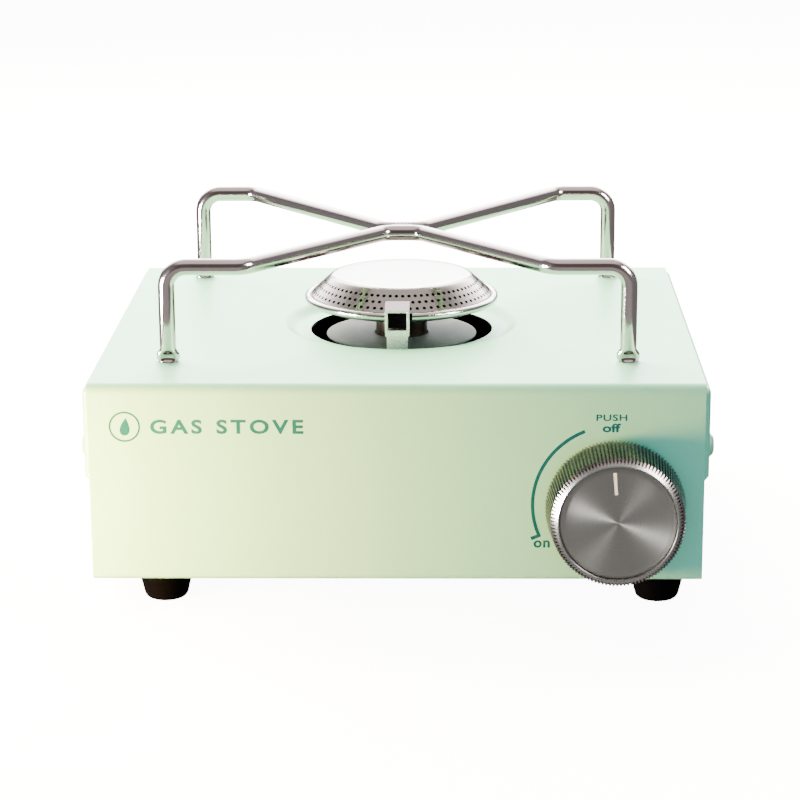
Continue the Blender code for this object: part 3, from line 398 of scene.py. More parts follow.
def object_from(bm, name, finish, smooth_angle=35.0):
    """A piece from a bmesh, faces outwards, shaded smooth up to the angle."""
    bmesh.ops.remove_doubles(bm, verts=bm.verts[:], dist=1e-7)
    bmesh.ops.recalc_face_normals(bm, faces=bm.faces[:])
    mesh = mesh_from(bm, name)
    mesh.shade_smooth()
    mesh.set_sharp_from_angle(angle=math.radians(smooth_angle))
    return shown_object(name, mesh, finish)


def settle(obj):
    """Replaces a piece's mesh by what its modifiers make of it, and removes them."""
    evaluated = obj.evaluated_get(bpy.context.evaluated_depsgraph_get())
    mesh = bpy.data.meshes.new_from_object(evaluated)
    old, name = obj.data, obj.data.name
    obj.modifiers.clear()
    obj.data = mesh
    bpy.data.meshes.remove(old)
    mesh.name = name
    return obj


def edge_finish(obj, width, cutters=(), segments=2, angle=40.0):
    """Rounds a piece's sharp edges, makes its cuts, and keeps its flat faces flat in shading."""
    if width:
        rounding = obj.modifiers.new("edges", "BEVEL")
        rounding.width = width
        rounding.segments = segments
        rounding.limit_method = "ANGLE"
        rounding.angle_limit = math.radians(angle)
        rounding.use_clamp_overlap = True
    for cutter in cutters:
        cut = obj.modifiers.new("cut", "BOOLEAN")
        cut.operation = "DIFFERENCE"
        cut.solver = "EXACT"
        cut.object = cutter
    settle(obj)
    for cutter in cutters:
        bpy.data.objects.remove(cutter, do_unlink=True)
    obj.data.shade_smooth()
    obj.data.set_sharp_from_angle(angle=math.radians(angle))
    weighting = obj.modifiers.new("flat faces", "WEIGHTED_NORMAL")
    weighting.keep_sharp = True
    return settle(obj)


def linked_object(name, data):
    """New object in the scene that holds this mesh, curve, light or camera."""
    obj = bpy.data.objects.new(name, data)
    bpy.context.scene.collection.objects.link(obj)
    return obj


def mesh_from(bm, name):
    """Mesh made from a bmesh, which is freed."""
    mesh = bpy.data.meshes.new(name)
    bm.to_mesh(mesh)
    bm.free()
    return mesh


def add_box(bm, low, high):
    low, high = Vector(low), Vector(high)
    place = Matrix.Translation((low + high) / 2) @ Matrix.Diagonal((*(high - low), 1.0))
    return bmesh.ops.create_cube(bm, size=1.0, matrix=place)["verts"]


def add_cylinder(bm, start, end, radius):
    start, end = Vector(start), Vector(end)
    turn = (end - start).to_track_quat("Z", "Y").to_matrix().to_4x4()
    bmesh.ops.create_cone(
        bm, cap_ends=True, segments=48, radius1=radius, radius2=radius,
        depth=(end - start).length, matrix=Matrix.Translation((start + end) / 2) @ turn,
    )


def cutter(boxes=(), cylinders=()):
    bm = bmesh.new()
    for low, high in boxes:
        add_box(bm, low, high)
    for start, end, radius in cylinders:
        add_cylinder(bm, start, end, radius)
    mesh = bpy.data.meshes.new("cutter")
    bmesh.ops.recalc_face_normals(bm, faces=bm.faces[:])
    bm.to_mesh(mesh)
    bm.free()
    obj = linked_object("cutter", mesh)
    return obj


TURNS = {
    "+Z": Matrix.Identity(4),
    "-Y": Matrix.Rotation(math.radians(90), 4, "X"),
    "+Y": Matrix.Rotation(math.radians(-90), 4, "X"),
    "+X": Matrix.Rotation(math.radians(90), 4, "Y"),
    "-X": Matrix.Rotation(math.radians(-90), 4, "Y"),
}


def spun_bmesh(profile, place, axis, segments):
    """Closed (radius, height) outline turned about the axis that goes through place."""
    bm = bmesh.new()
    verts = [bm.verts.new((radius, 0.0, height)) for radius, height in profile]
    edges = [
        bm.edges.new((verts[i], verts[(i + 1) % len(verts)]))
        for i in range(len(verts))
        if profile[i][0] > 1e-7 or profile[(i + 1) % len(verts)][0] > 1e-7
    ]
    bmesh.ops.spin(
        bm, geom=verts + edges, cent=(0, 0, 0), axis=(0, 0, 1), angle=2 * math.pi,
        steps=segments, use_merge=True,
    )
    bmesh.ops.remove_doubles(bm, verts=bm.verts[:], dist=1e-7)
    bm.transform(Matrix.Translation(place) @ TURNS[axis])
    return bm


def turned(name, profile, place, finish, axis="+Z", segments=96):
    return object_from(spun_bmesh(profile, place, axis, segments), name, finish, SMOOTH_ANGLE)


def rounded_corner(corner, before, after, radius, steps):
    """Points of the bend that replaces a path's sharp corner."""
    incoming = (corner - before).normalized()
    outgoing = (after - corner).normalized()
    angle = incoming.angle(outgoing)
    start = corner - incoming * radius * math.tan(angle / 2)
    inward = (outgoing - incoming * incoming.dot(outgoing)).normalized()
    points = []
    for step in range(steps + 1):
        turn = angle * step / steps
        points.append(
            start + inward * radius * (1 - math.cos(turn)) + incoming * radius * math.sin(turn)
        )
    return points


def bent_path(corners, radii, steps):
    corners = [Vector(c) for c in corners]
    points = [corners[0]]
    for i, radius in enumerate(radii, start=1):
        points += rounded_corner(corners[i], corners[i - 1], corners[i + 1], radius, steps)
    return points + [corners[-1]]


def swept(bm, path, section, sides, start_side):
    """Sweeps an ellipse along the path, with closed ends.

    section(point) gives its two half axes and how far its flat sides are pressed in, 0 to 1.
    """
    rings = []
    side = Vector(start_side)
    for i, point in enumerate(path):
        forward = (path[min(i + 1, len(path) - 1)] - path[max(i - 1, 0)]).normalized()
        side = (side - forward * side.dot(forward)).normalized()
        up = forward.cross(side)
        wide, thick, press = section(point)
        ring = []
        for k in range(sides):
            angle = 2 * math.pi * k / sides
            rise = thick * math.sin(angle) * (1 - press * math.sin(angle) ** 4)
            ring.append(bm.verts.new(point + side * wide * math.cos(angle) + up * rise))
        rings.append(ring)
    for ring, following in zip(rings, rings[1:]):
        for k in range(sides):
            n = (k + 1) % sides
            bm.faces.new((ring[k], ring[n], following[n], following[k]))
    bm.faces.new(rings[0])
    bm.faces.new(rings[-1])


# ---------------------------------------------------------------- geometry node trees
def new_tree(name, inputs):
    """A geometry node group with named inputs: returns the tree and its group input node."""
    tree = bpy.data.node_groups.new(name, "GeometryNodeTree")
    tree.interface.new_socket("Geometry", in_out="INPUT", socket_type="NodeSocketGeometry")
    for label, kind, default in inputs:
        socket = tree.interface.new_socket(label, in_out="INPUT", socket_type=kind)
        if default is not None:
            socket.default_value = default
    tree.interface.new_socket("Geometry", in_out="OUTPUT", socket_type="NodeSocketGeometry")
    entry = add_node(tree, "NodeGroupInput")
    return tree, entry


def close_tree(tree, entry, instances, merge_distance):
    """Ends a tree: real meshes, joined seams, the finish, and the group's output."""
    real = add_node(tree, "GeometryNodeRealizeInstances", {"Geometry": instances})
    joined = add_node(
        tree, "GeometryNodeMergeByDistance",
        {"Geometry": real.outputs["Geometry"], "Distance": merge_distance},
    )
    coloured = add_node(
        tree, "GeometryNodeSetMaterial",
        {"Geometry": joined.outputs["Geometry"], "Material": entry.outputs["Finish"]},
    )
    add_node(tree, "NodeGroupOutput", {"Geometry": coloured.outputs["Geometry"]})


def ring_tree():
    """Repeats one wedge about +Z so that the copies close into a full turn."""
    tree, entry = new_tree(
        "repeat_round_axis",
        [("Count", "NodeSocketInt", 12), ("Finish", "NodeSocketMaterial", None)],
    )
    line = add_node(tree, "GeometryNodeMeshLine", {"Count": entry.outputs["Count"]})
    line.inputs["Offset"].default_value = (0.0, 0.0, 0.0)
    index = add_node(tree, "GeometryNodeInputIndex")
    step = add_node(
        tree, "ShaderNodeMath", {0: 2 * math.pi, 1: entry.outputs["Count"]}, operation="DIVIDE"
    )
    angle = add_node(
        tree, "ShaderNodeMath",
        {0: index.outputs["Index"], 1: step.outputs["Value"]}, operation="MULTIPLY",
    )
    turn = add_node(tree, "ShaderNodeCombineXYZ", {"Z": angle.outputs["Value"]})
    copies = add_node(
        tree, "GeometryNodeInstanceOnPoints",
        {
            "Points": line.outputs["Mesh"],
            "Instance": entry.outputs["Geometry"],
            "Rotation": turn.outputs["Vector"],
        },
    )
    close_tree(tree, entry, copies.outputs["Instances"], 0.002 * MM)
    return tree


def points_tree():
    """Sets one piece on every vertex of the guide mesh that carries the modifier."""
    tree, entry = new_tree(
        "piece_on_points",
        [("Piece", "NodeSocketObject", None), ("Finish", "NodeSocketMaterial", None)],
    )
    piece = add_node(
        tree, "GeometryNodeObjectInfo", {"Object": entry.outputs["Piece"]},
        transform_space="ORIGINAL",
    )
    copies = add_node(
        tree, "GeometryNodeInstanceOnPoints",
        {"Points": entry.outputs["Geometry"], "Instance": piece.outputs["Geometry"]},
    )
    close_tree(tree, entry, copies.outputs["Instances"], 0.0)
    return tree


def run_tree(obj, tree, values):
    """Puts a tree on an object with its inputs set by identifier, and makes its result real."""
    modifier = obj.modifiers.new(tree.name, "NODES")
    modifier.node_group = tree
    for item in tree.interface.items_tree:
        if item.in_out == "INPUT" and item.name in values:
            modifier[item.identifier] = values[item.name]
    return settle(obj)


def ring_of(bm, name, finish, count, place, axis, smooth_angle):
    """Turns a wedge bmesh into a full round piece with the ring tree, then puts it in place."""
    wedge = object_from(bm, name, finish, smooth_angle)
    run_tree(wedge, ring_tree(), {"Count": count, "Finish": FINISHES[finish]})
    wedge.data.transform(Matrix.Translation(place) @ TURNS[axis])
    wedge.data.shade_smooth()
    wedge.data.set_sharp_from_angle(angle=math.radians(smooth_angle))
    return wedge


def copies_at(name, pattern, places, finish):
    """One object that holds a copy of the pattern bmesh at each place."""
    piece = object_from(pattern, name + "_pattern", finish, SMOOTH_ANGLE)
    guide_mesh = bpy.data.meshes.new(name)
    guide_mesh.from_pydata([tuple(p) for p in places], [], [])
    guide_mesh.materials.append(FINISHES[finish])
    guide = linked_object(name, guide_mesh)
    run_tree(guide, points_tree(), {"Piece": piece, "Finish": FINISHES[finish]})
    bpy.data.objects.remove(piece, do_unlink=True)
    guide.data.shade_smooth()
    guide.data.set_sharp_from_angle(angle=math.radians(SMOOTH_ANGLE))
    return guide


# ---------------------------------------------------------------- casing
def dish_height(radius):
    """Drop of the pressed dish below the top at this distance from the burner's middle."""
    outer, flat, depth = 38.0 * MM, 33.0 * MM, 2.5 * MM
    share = min(max((outer - radius) / (outer - flat), 0.0), 1.0)
    return depth * (3 * share**2 - 2 * share**3)


def cover_top(bm, rays):
    """Top face from the dish's hole to the bends; returns the outer ring's vertices."""
    half_x, half_y = COVER_HALF, (BACK_Y - FRONT_Y) / 2 - 3.0 * MM
    centre = Vector((0, (FRONT_Y + BACK_Y) / 2, 0))
    radii = [29.0, 30.5, 32.2, 33.0, 33.8, 34.6, 35.5, 36.4, 37.2, 38.0, 38.6, 40.5]
    angles = [2 * math.pi * (k + 0.5) / rays for k in range(rays)]
    rings = []
    for radius in (r * MM for r in radii):
        height = TOP_Z - dish_height(radius)
        rings.append(
            [bm.verts.new((BURNER.x + radius * math.cos(a), BURNER.y + radius * math.sin(a), height))
             for a in angles]
        )
    corner_angle = math.atan2(half_y, half_x)
    corner_rays = {
        min(range(rays), key=lambda k: abs(angles[k] - a)): (sx, sy)
        for a, sx, sy in (
            (corner_angle, 1, 1), (math.pi - corner_angle, -1, 1),
            (math.pi + corner_angle, -1, -1), (2 * math.pi - corner_angle, 1, -1),
        )
    }
    for inset in (0.6 * MM, 0.0):
        hx, hy = half_x - inset, half_y - inset
        ring = []
        for k, angle in enumerate(angles):
            if k in corner_rays:
                sx, sy = corner_rays[k]
                x, y = sx * hx, sy * hy
            else:
                reach = min(hx / max(abs(math.cos(angle)), 1e-9), hy / max(abs(math.sin(angle)), 1e-9))
                x, y = reach * math.cos(angle), reach * math.sin(angle)
            ring.append(bm.verts.new((centre.x + x, centre.y + y, TOP_Z)))
        rings.append(ring)
    for ring, following in zip(rings, rings[1:]):
        for k in range(rays):
            n = (k + 1) % rays
            bm.faces.new((ring[k], ring[n], following[n], following[k]))
    return rings[-1]


def fold_down(bm, edge_verts, path):
    """Carries a straight row of top vertices down along a (y, z) path, as a sheet is folded."""
    row = sorted(edge_verts, key=lambda v: v.co.x)
    for y, z in path:
        following = [bm.verts.new((v.co.x, y, z)) for v in row]
        for i in range(len(row) - 1):
            bm.faces.new((row[i], row[i + 1], following[i + 1], following[i]))
        row = following


def shade_inside_faces(obj):
    """Gives the faces that look towards the middle of the casing near black: painted shade inside the
    casing.
    """
    inside = Vector((0, (FRONT_Y + BACK_Y) / 2, (BOTTOM_Z + TOP_Z) / 2))
    obj.data.materials.append(FINISHES["inner"])
    for polygon in obj.data.polygons:
        if polygon.normal.dot((inside - polygon.center).normalized()) > 0.05:
            polygon.material_index = 1


def make_cover(sizes):
    bm = bmesh.new()
    outer = cover_top(bm, 144)
    bend, hem = 3.0 * MM, 1.6 * MM
    front = [v for v in outer if abs(v.co.y - (FRONT_Y + bend)) < 1e-7]
    rear = [v for v in outer if abs(v.co.y - (BACK_Y - bend)) < 1e-7]
    front_path = arc((FRONT_Y + bend, TOP_Z - bend), bend, 90, 180, 10)[1:]
    front_path.append((FRONT_Y, TOP_Z - bend - 0.8 * MM))
    front_path.append((FRONT_Y, BOTTOM_Z + hem + 0.5 * MM))
    front_path += arc((FRONT_Y + hem, BOTTOM_Z + hem), hem, 180, 270, 6)
    front_path.append((FRONT_Y + 2.4 * MM, BOTTOM_Z))
    fold_down(bm, front, front_path)
    rear_path = arc((BACK_Y - bend, TOP_Z - bend), bend, 90, 0, 10)[1:]
    rear_path.append((BACK_Y, TOP_Z - bend - 0.8 * MM))
    rear_path.append((BACK_Y, TOP_Z - 9.0 * MM))
    fold_down(bm, rear, rear_path)
    cover = object_from(bm, "cover_sheet", "coat")
    top_face = max(cover.data.polygons, key=lambda p: p.area * (p.normal.z != 0))
    if top_face.normal.z < 0:
        cover.data.flip_normals()
    thickness = cover.modifiers.new("sheet", "SOLIDIFY")
    thickness.thickness = SHEET
    thickness.offset = -1.0
    thickness.use_even_offset = True
    legs = [
        ((x, y, TOP_Z - 4 * MM), (x, y, TOP_Z + 4 * MM), sizes.wire_radius + 0.4 * MM)
        for x in (-LEG_X, LEG_X)
        for y in (FRONT_LEG_Y, REAR_LEG_Y)
    ]
    spindle = (
        (KNOB_CENTRE.x, FRONT_Y - 3 * MM, KNOB_CENTRE.z),
        (KNOB_CENTRE.x, FRONT_Y + 3 * MM, KNOB_CENTRE.z),
        4.5 * MM,
    )
    notch = (
        (-4.5 * MM, BURNER.y - 33.2 * MM, TOP_Z - 9 * MM),
        (4.5 * MM, BURNER.y - 27.0 * MM, TOP_Z + 2 * MM),
    )
    edge_finish(cover, sizes.edge_round, [cutter([notch], [*legs, spindle])], angle=60.0)
    shade_inside_faces(cover)
    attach(cover, SHELL)
    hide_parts("top_cover")


def side_outline(inset):
    """Front view of a side sheet: the upper field stands proud of the lower one."""
    low_z = BOTTOM_Z + 1.3 * MM
    top_z = TOP_Z - 1.3 * MM
    step_z = BOTTOM_Z + 30 * MM
    flange = SIDE_X - 8 * MM
    lower = SIDE_X - 1.3 * MM
    open_side = 0.5 * MM if inset else 0.0
    return [
        (flange - open_side, low_z - open_side),
        (lower - inset, low_z - open_side),
        (lower - inset, step_z + inset * 0.4),
        (SIDE_X - inset, step_z + 1.6 * MM + inset * 0.4),
        (SIDE_X - inset, top_z - inset),
        (flange - open_side, top_z - inset),
    ]


def side_block(side, front, back, inset):
    bm = bmesh.new()
    face = bm.faces.new([bm.verts.new((side * x, front, z)) for x, z in side_outline(inset)])
    grown = bmesh.ops.extrude_face_region(bm, geom=[face])
    moved = [item for item in grown["geom"] if isinstance(item, bmesh.types.BMVert)]
    bmesh.ops.translate(bm, verts=moved, vec=(0, back - front, 0))
    bmesh.ops.recalc_face_normals(bm, faces=bm.faces[:])
    return bm


def make_side_sheet(side, side_name):
    front, back = FRONT_Y + 1.3 * MM, BACK_Y - 1.3 * MM
    bm = side_block(side, front, back, 0.0)
    edges = []
    for edge in bm.edges:
        a, b = (v.co for v in edge.verts)
        outside = min(side * a.x, side * b.x) > SIDE_X - 2 * MM
        at_end = any(abs(a.y - y) < 1e-6 and abs(b.y - y) < 1e-6 for y in (front, back))
        at_top = min(a.z, b.z) > TOP_Z - 1.6 * MM
        level = abs(a.z - b.z) < 1e-6
        if (outside and at_end and not level) or (at_top and (outside or at_end)):
            edges.append(edge)
    bmesh.ops.bevel(bm, geom=edges, offset=1.8 * MM, segments=6, profile=0.5, affect="EDGES")
    sheet = object_from(bm, f"side_sheet_{side_name}", "coat")
    hollow = side_block(side, front + SHEET, back - SHEET, SHEET)
    hollow_mesh = mesh_from(hollow, "hollow")
    hollow_tool = linked_object("hollow", hollow_mesh)
    flange_x = side * (SIDE_X - 6 * MM)
    holes = [
        ((flange_x, back - 5 * MM, z), (flange_x, back + 4 * MM, z), 1.9 * MM)
        for z in (middle("rear_screw_lower_left").z, middle("rear_screw_upper_left").z)
    ]
    edge_finish(sheet, 0.0, [hollow_tool, cutter([], holes)], angle=30.0)
    shade_inside_faces(sheet)
    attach(sheet, SHELL)
    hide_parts(f"{side_name}_side_panel")


def make_rear_sheet(sizes):
    low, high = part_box("rear_panel")
    bm = bmesh.new()
    add_box(bm, low, high)
    vents, vent_ends = [], []
    for index in range(8):
        x = -66 * MM + index * 8 * MM
        bottom, top = BOTTOM_Z + 15.5 * MM, BOTTOM_Z + 32.5 * MM
        vents.append(((x - 1.5 * MM, BACK_Y - 3 * MM, bottom), (x + 1.5 * MM, BACK_Y + MM, top)))
        vent_ends += [((x, BACK_Y - 3 * MM, z), (x, BACK_Y + MM, z), 1.5 * MM) for z in (bottom, top)]
    holes = [
        ((p.x, BACK_Y - 3 * MM, p.z), (p.x, BACK_Y + MM, p.z), 1.9 * MM)
        for p in map(middle, REAR_SCREWS)
    ]
    port = (
        (PORT.x, BACK_Y - 3 * MM, PORT.z),
        (PORT.x, BACK_Y + MM, PORT.z),
        19.5 * MM,
    )
    panel = object_from(bm, "rear_sheet", "coat")
    slots = [cutter(vents), cutter([], vent_ends), cutter([], [*holes, port])]
    edge_finish(panel, sizes.edge_round, slots)
    shade_inside_faces(panel)
    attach(panel, SHELL)
    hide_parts("rear_panel")


def make_vent_shade_sheet():
    """Black sheet a few millimetres behind the vents: painted shade, so the vents read as the dark inside
    of the casing.
    """
    bm = bmesh.new()
    add_box(
        bm,
        (-71 * MM, BACK_Y - 7 * MM, BOTTOM_Z + 9 * MM),
        (-4 * MM, BACK_Y - 6.4 * MM, BOTTOM_Z + 40 * MM),
    )
    baffle = object_from(bm, "vent_baffle", "inner")
    edge_finish(baffle, 0.1 * MM)
    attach(baffle, SHELL)


REAR_SCREWS = [
    "rear_screw_" + place for place in ("lower_left", "lower_right", "upper_left", "upper_right")
]
FOOT_PLACES = ("front_left", "front_right", "rear_left", "rear_right")


# ---------------------------------------------------------------- printed marks
def printed(bm, name):
    """A film of ink 0.04 mm thick on the front face, from flat faces drawn at y = 0."""
    for face in bm.faces:
        face.normal_update()
    grown = bmesh.ops.extrude_face_region(bm, geom=bm.faces[:])
    moved = [item for item in grown["geom"] if isinstance(item, bmesh.types.BMVert)]
    bmesh.ops.translate(bm, verts=moved, vec=(0, -0.04 * MM, 0))
    bmesh.ops.translate(bm, verts=bm.verts[:], vec=(0, FRONT_Y, 0))
    mark = object_from(bm, name, "ink")
    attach(mark, SHELL)
    return mark


def lettering(name, text, size, centre, spacing=1.0, weight=0.02):
    """Plain generic lettering, set to a width and height in metres and centred on (x, z)."""
    curve = bpy.data.curves.new(name, "FONT")
    curve.body = text
    curve.space_character = spacing
    curve.offset = weight
    curve.resolution_u = 4
    obj = linked_object(name, curve)
    evaluated = obj.evaluated_get(bpy.context.evaluated_depsgraph_get())
    flat = bpy.data.meshes.new_from_object(evaluated)
    bpy.data.objects.remove(obj, do_unlink=True)
    bm = bmesh.new()
    bm.from_mesh(flat)
    bpy.data.meshes.remove(flat)
    bmesh.ops.remove_doubles(bm, verts=bm.verts[:], dist=1e-5)
    xs, ys = [v.co.x for v in bm.verts], [v.co.y for v in bm.verts]
    width_factor = size[0] / (max(xs) - min(xs))
    height_factor = size[1] / (max(ys) - min(ys))
    middle_x, middle_y = (max(xs) + min(xs)) / 2, (max(ys) + min(ys)) / 2
    for vert in bm.verts:
        x = (vert.co.x - middle_x) * width_factor + centre[0]
        z = (vert.co.y - middle_y) * height_factor + centre[1]
        vert.co = (x, 0.0, z)
    return printed(bm, name)


def ring_sector(bm, centre, radius, width, start_degrees, end_degrees, steps):
    """Flat curved band of the given width on the front face."""
    inner = arc(centre, radius - width / 2, start_degrees, end_degrees, steps)
    outer = arc(centre, radius + width / 2, start_degrees, end_degrees, steps)
    rows = [
        [bm.verts.new((x, 0.0, z)) for x, z in line] for line in (inner, outer)
    ]
    for i in range(steps):
        bm.faces.new((rows[0][i], rows[0][i + 1], rows[1][i + 1], rows[1][i]))


def make_dial_marks():
    x, z = KNOB_CENTRE.x, KNOB_CENTRE.z
    bm = bmesh.new()
    ring_sector(bm, (x, z), 24.2 * MM, 1.0 * MM, 112, 202, 40)
    ring_sector(bm, (x, z), 25.2 * MM, 3.0 * MM, 202, 204.4, 2)
    printed(bm, "dial_arc")
    lettering("mark_push", "PUSH", (9.0 * MM, 2.0 * MM), (x - 1.3 * MM, z + 26.6 * MM), 1.1)
    lettering("mark_off", "off", (5.3 * MM, 2.7 * MM), (x - 1.3 * MM, z + 23.5 * MM), weight=0.03)
    lettering("mark_on", "on", (4.8 * MM, 2.3 * MM), (x - 21.4 * MM, z - 12.2 * MM), 1.1, 0.03)


def flame_outline(height, lean):
    """Closed teardrop flame of the given height with its tip leaning sideways."""
    points = []
    steps = 40
    for step in range(steps):
        angle = 2 * math.pi * step / steps
        rise = (1 - math.cos(angle)) / 2
        width = 0.36 * height * math.sin(angle) * (1 - rise) ** 0.55
        points.append((width + lean * rise**2 * height, rise * height))
    return points


def make_label():
    """Generic label: a flame in a ring, and the plain words for what the thing is."""
    centre_x, centre_z = -79.5 * MM, BOTTOM_Z + 47.4 * MM
    bm = bmesh.new()
    ring_sector(bm, (centre_x, centre_z), 4.35 * MM, 0.55 * MM, 0, 360, 56)
    bmesh.ops.remove_doubles(bm, verts=bm.verts[:], dist=1e-6)
    height = 5.4 * MM
    outline = flame_outline(height, 0.08)
    bm.faces.new(
        [bm.verts.new((centre_x + x, 0.0, centre_z - height / 2 + z)) for x, z in outline]
    )
    printed(bm, "label_flame")
    lettering("label_words", "GAS STOVE", (45.0 * MM, 4.4 * MM), (-49.5 * MM, centre_z), 1.3, 0.03)


# ---------------------------------------------------------------- feet and fasteners
def make_feet():
    low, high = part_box("foot_front_left")
    top = high[2]
    radius = (high[0] - low[0]) / 2
    outer = [
        (4.0 * MM, 0.0),
        (5.6 * MM, 0.0),
        (6.5 * MM, 0.9 * MM),
        (radius, 7.2 * MM),
        (radius, top),
        (1.9 * MM, top),
        (1.9 * MM, 5.0 * MM),
        (4.0 * MM, 5.0 * MM),
    ]
    pattern = spun_bmesh(softened(outer, 0.8 * MM, 4), (0, 0, 0), "+Z", 64)
    places = [(p.x, p.y, 0.0) for p in (middle("foot_" + name) for name in FOOT_PLACES)]
    feet = copies_at("feet", pattern, places, "rubber")
    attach(feet, SHELL)
    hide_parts(*["foot_" + name for name in FOOT_PLACES])


def screw_bmesh(head_radius, head_height, length, axis):
    """Pan-head screw with a cross recess, standing on its head's outer face, shank along the axis."""
    profile = [
        (0.0, 0.0),
        (head_radius * 0.72, 0.0),
        (head_radius * 0.93, head_height * 0.3),
        (head_radius, head_height * 0.75),
        (head_radius, head_height),
        (1.5 * MM, head_height),
        (1.5 * MM, head_height + length),
        (0.0, head_height + length),
    ]
    bm = spun_bmesh(softened(profile, 0.2 * MM, 2), (0, 0, 0), "+Z", 32)
    mesh = mesh_from(bm, "screw")
    screw = shown_object("screw", mesh, "zinc")
    arm, half = head_radius * 0.52, 0.32 * MM
    cross = cutter([
        ((-arm, -half, -MM), (arm, half, head_height * 0.6)),
        ((-half, -arm, -MM), (half, arm, head_height * 0.6)),
    ])
    union = screw.modifiers.new("cross", "BOOLEAN")
    union.solver = "EXACT"
    union.use_self = True
    union.object = cross
    settle(screw)
    bpy.data.objects.remove(cross, do_unlink=True)
    result = bmesh.new()
    result.from_mesh(screw.data)
    bpy.data.objects.remove(screw, do_unlink=True)
    result.transform(TURNS[axis])
    return result


def stud_bmesh(side):
    """Round stud head with a soft edge, its shank towards the body."""
    profile = [
        (0.0, 0.0),
        (2.4 * MM, 0.0),
        (3.5 * MM, 0.9 * MM),
        (3.5 * MM, 2.2 * MM),
        (1.5 * MM, 2.2 * MM),
        (1.5 * MM, 6.0 * MM),
        (0.0, 6.0 * MM),
    ]
    return spun_bmesh(softened(profile, 0.5 * MM, 4), (0, 0, 0), "-X" if side > 0 else "+X", 48)


def make_fasteners():
    rear = [Vector((middle(n).x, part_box(n)[1][1], middle(n).z)) for n in REAR_SCREWS]
    screws = copies_at("rear_screws", screw_bmesh(2.8 * MM, 1.3 * MM, 6 * MM, "-Y"), rear, "zinc")
    foot_nodes = ["foot_screw_" + name for name in FOOT_PLACES]
    below = [Vector((middle(n).x, middle(n).y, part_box(n)[0][2])) for n in foot_nodes]
    foot_screws = copies_at("foot_screws", screw_bmesh(3 * MM, 1.7 * MM, 9.5 * MM, "+Z"), below, "zinc")
    floor_nodes = ["burner_screw_1", "burner_screw_2"]
    under = [Vector((middle(n).x, middle(n).y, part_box(n)[0][2])) for n in floor_nodes]
    floor_screws = copies_at(
        "burner_screws", screw_bmesh(2.8 * MM, 1.4 * MM, 4.5 * MM, "+Z"), under, "zinc"
    )
    for piece, nodes in ((screws, REAR_SCREWS), (foot_screws, foot_nodes), (floor_screws, floor_nodes)):
        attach(piece, SHELL)
        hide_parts(*nodes)
    for side, side_name in ((-1, "left"), (1, "right")):
        nodes = [f"side_stud_{side_name}_{row}" for row in ("front", "rear")]
        tip = side * max(abs(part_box(nodes[0])[0][0]), abs(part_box(nodes[0])[1][0]))
        places = [Vector((tip, middle(n).y, middle(n).z)) for n in nodes]
        studs = copies_at(f"side_studs_{side_name}", stud_bmesh(side), places, "coat")
        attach(studs, SHELL)
        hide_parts(*nodes)


# ---------------------------------------------------------------- pan support
def make_support_wire(name, node, leg_y, bend_x, sizes):
    """Bent wire with pinched ears at the foot of each leg, where it stands on the top sheet."""
    radius = sizes.wire_radius
    foot_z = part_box(node)[0][2]
    height = WIRE_TOP - radius
    middle_y = middle_run_y(node, leg_y, radius)
    corners = [
        (-LEG_X, leg_y, foot_z), (-LEG_X, leg_y, height), (-bend_x, leg_y, height),
        (-5.0 * MM, middle_y, height), (6.0 * MM, middle_y, height),
        (bend_x, leg_y, height), (LEG_X, leg_y, height), (LEG_X, leg_y, foot_z),
    ]
    radii = [6.0 * MM] * 6
    bent = bent_path(corners, radii, 12)
    leg_levels = [foot_z, foot_z + 0.5 * MM, TOP_Z - 1.6 * MM]
    leg_levels += [TOP_Z + level * MM for level in (0.05, 0.3, 0.8, 1.4, 2.0, 2.5, 3.0, 3.5, 4.2)]
    left_leg = [Vector((-LEG_X, leg_y, z)) for z in leg_levels]
    right_leg = [Vector((LEG_X, leg_y, z)) for z in reversed(leg_levels)]
    path = left_leg + bent[1:-1] + right_leg

    def section(point):
        rise = point.z - TOP_Z
        if rise < -MM:
            tip = 0.86 if point.z < foot_z + 0.2 * MM else 1.0
            return radius * tip, radius * tip, 0.0
        start = min(max((rise + 0.3 * MM) / (1.0 * MM), 0.0), 1.0)
        end = min(max((4.0 * MM - rise) / (1.9 * MM), 0.0), 1.0)
        pinch = min(start, end * end * (3 - 2 * end))
        return radius + 1.0 * MM * pinch, radius - 0.3 * MM * pinch, 0.5 * pinch

    bm = bmesh.new()
    swept(bm, path, section, 40, (1, 0, 0))
    wire = object_from(bm, name, "wire", 50.0)
    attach(wire, SUPPORT)
    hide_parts(node)


def middle_run_y(node, leg_y, radius):
    """Y of the wire's straight middle, from the far side of the node's box."""
    low_y, high_y = (corner[1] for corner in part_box(node))
    legs_are_low = abs(low_y - (leg_y - radius)) < abs(high_y - (leg_y + radius))
    return high_y - radius if legs_are_low else low_y + radius


def make_weld():
    """Two short weld beads in the groove under the meeting wires."""
    y = (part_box("front_wire")[1][1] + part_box("rear_wire")[0][1]) / 2
    z = WIRE_TOP - 2.5 * MM
    for number, height in enumerate((-1.5 * MM, 1.3 * MM), start=1):
        path = [Vector(((-4.2 + 9.4 * step / 24) * MM, y, z + height)) for step in range(25)]
        start, end = path[0].x, path[-1].x

        def section(point):
            share = (point.x - start) / (end - start)
            fullness = max(1 - abs(2 * share - 1) ** 4, 0.04)
            ripple = 1 + 0.10 * math.sin(2 * math.pi * share * 8)
            return 0.95 * MM * fullness * ripple, 0.95 * MM * fullness * ripple, 0.0

        bm = bmesh.new()
        swept(bm, path, section, 16, (0, 1, 0))
        bead = object_from(bm, f"weld_bead_{number}", "wire", 60.0)
        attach(bead, SUPPORT)


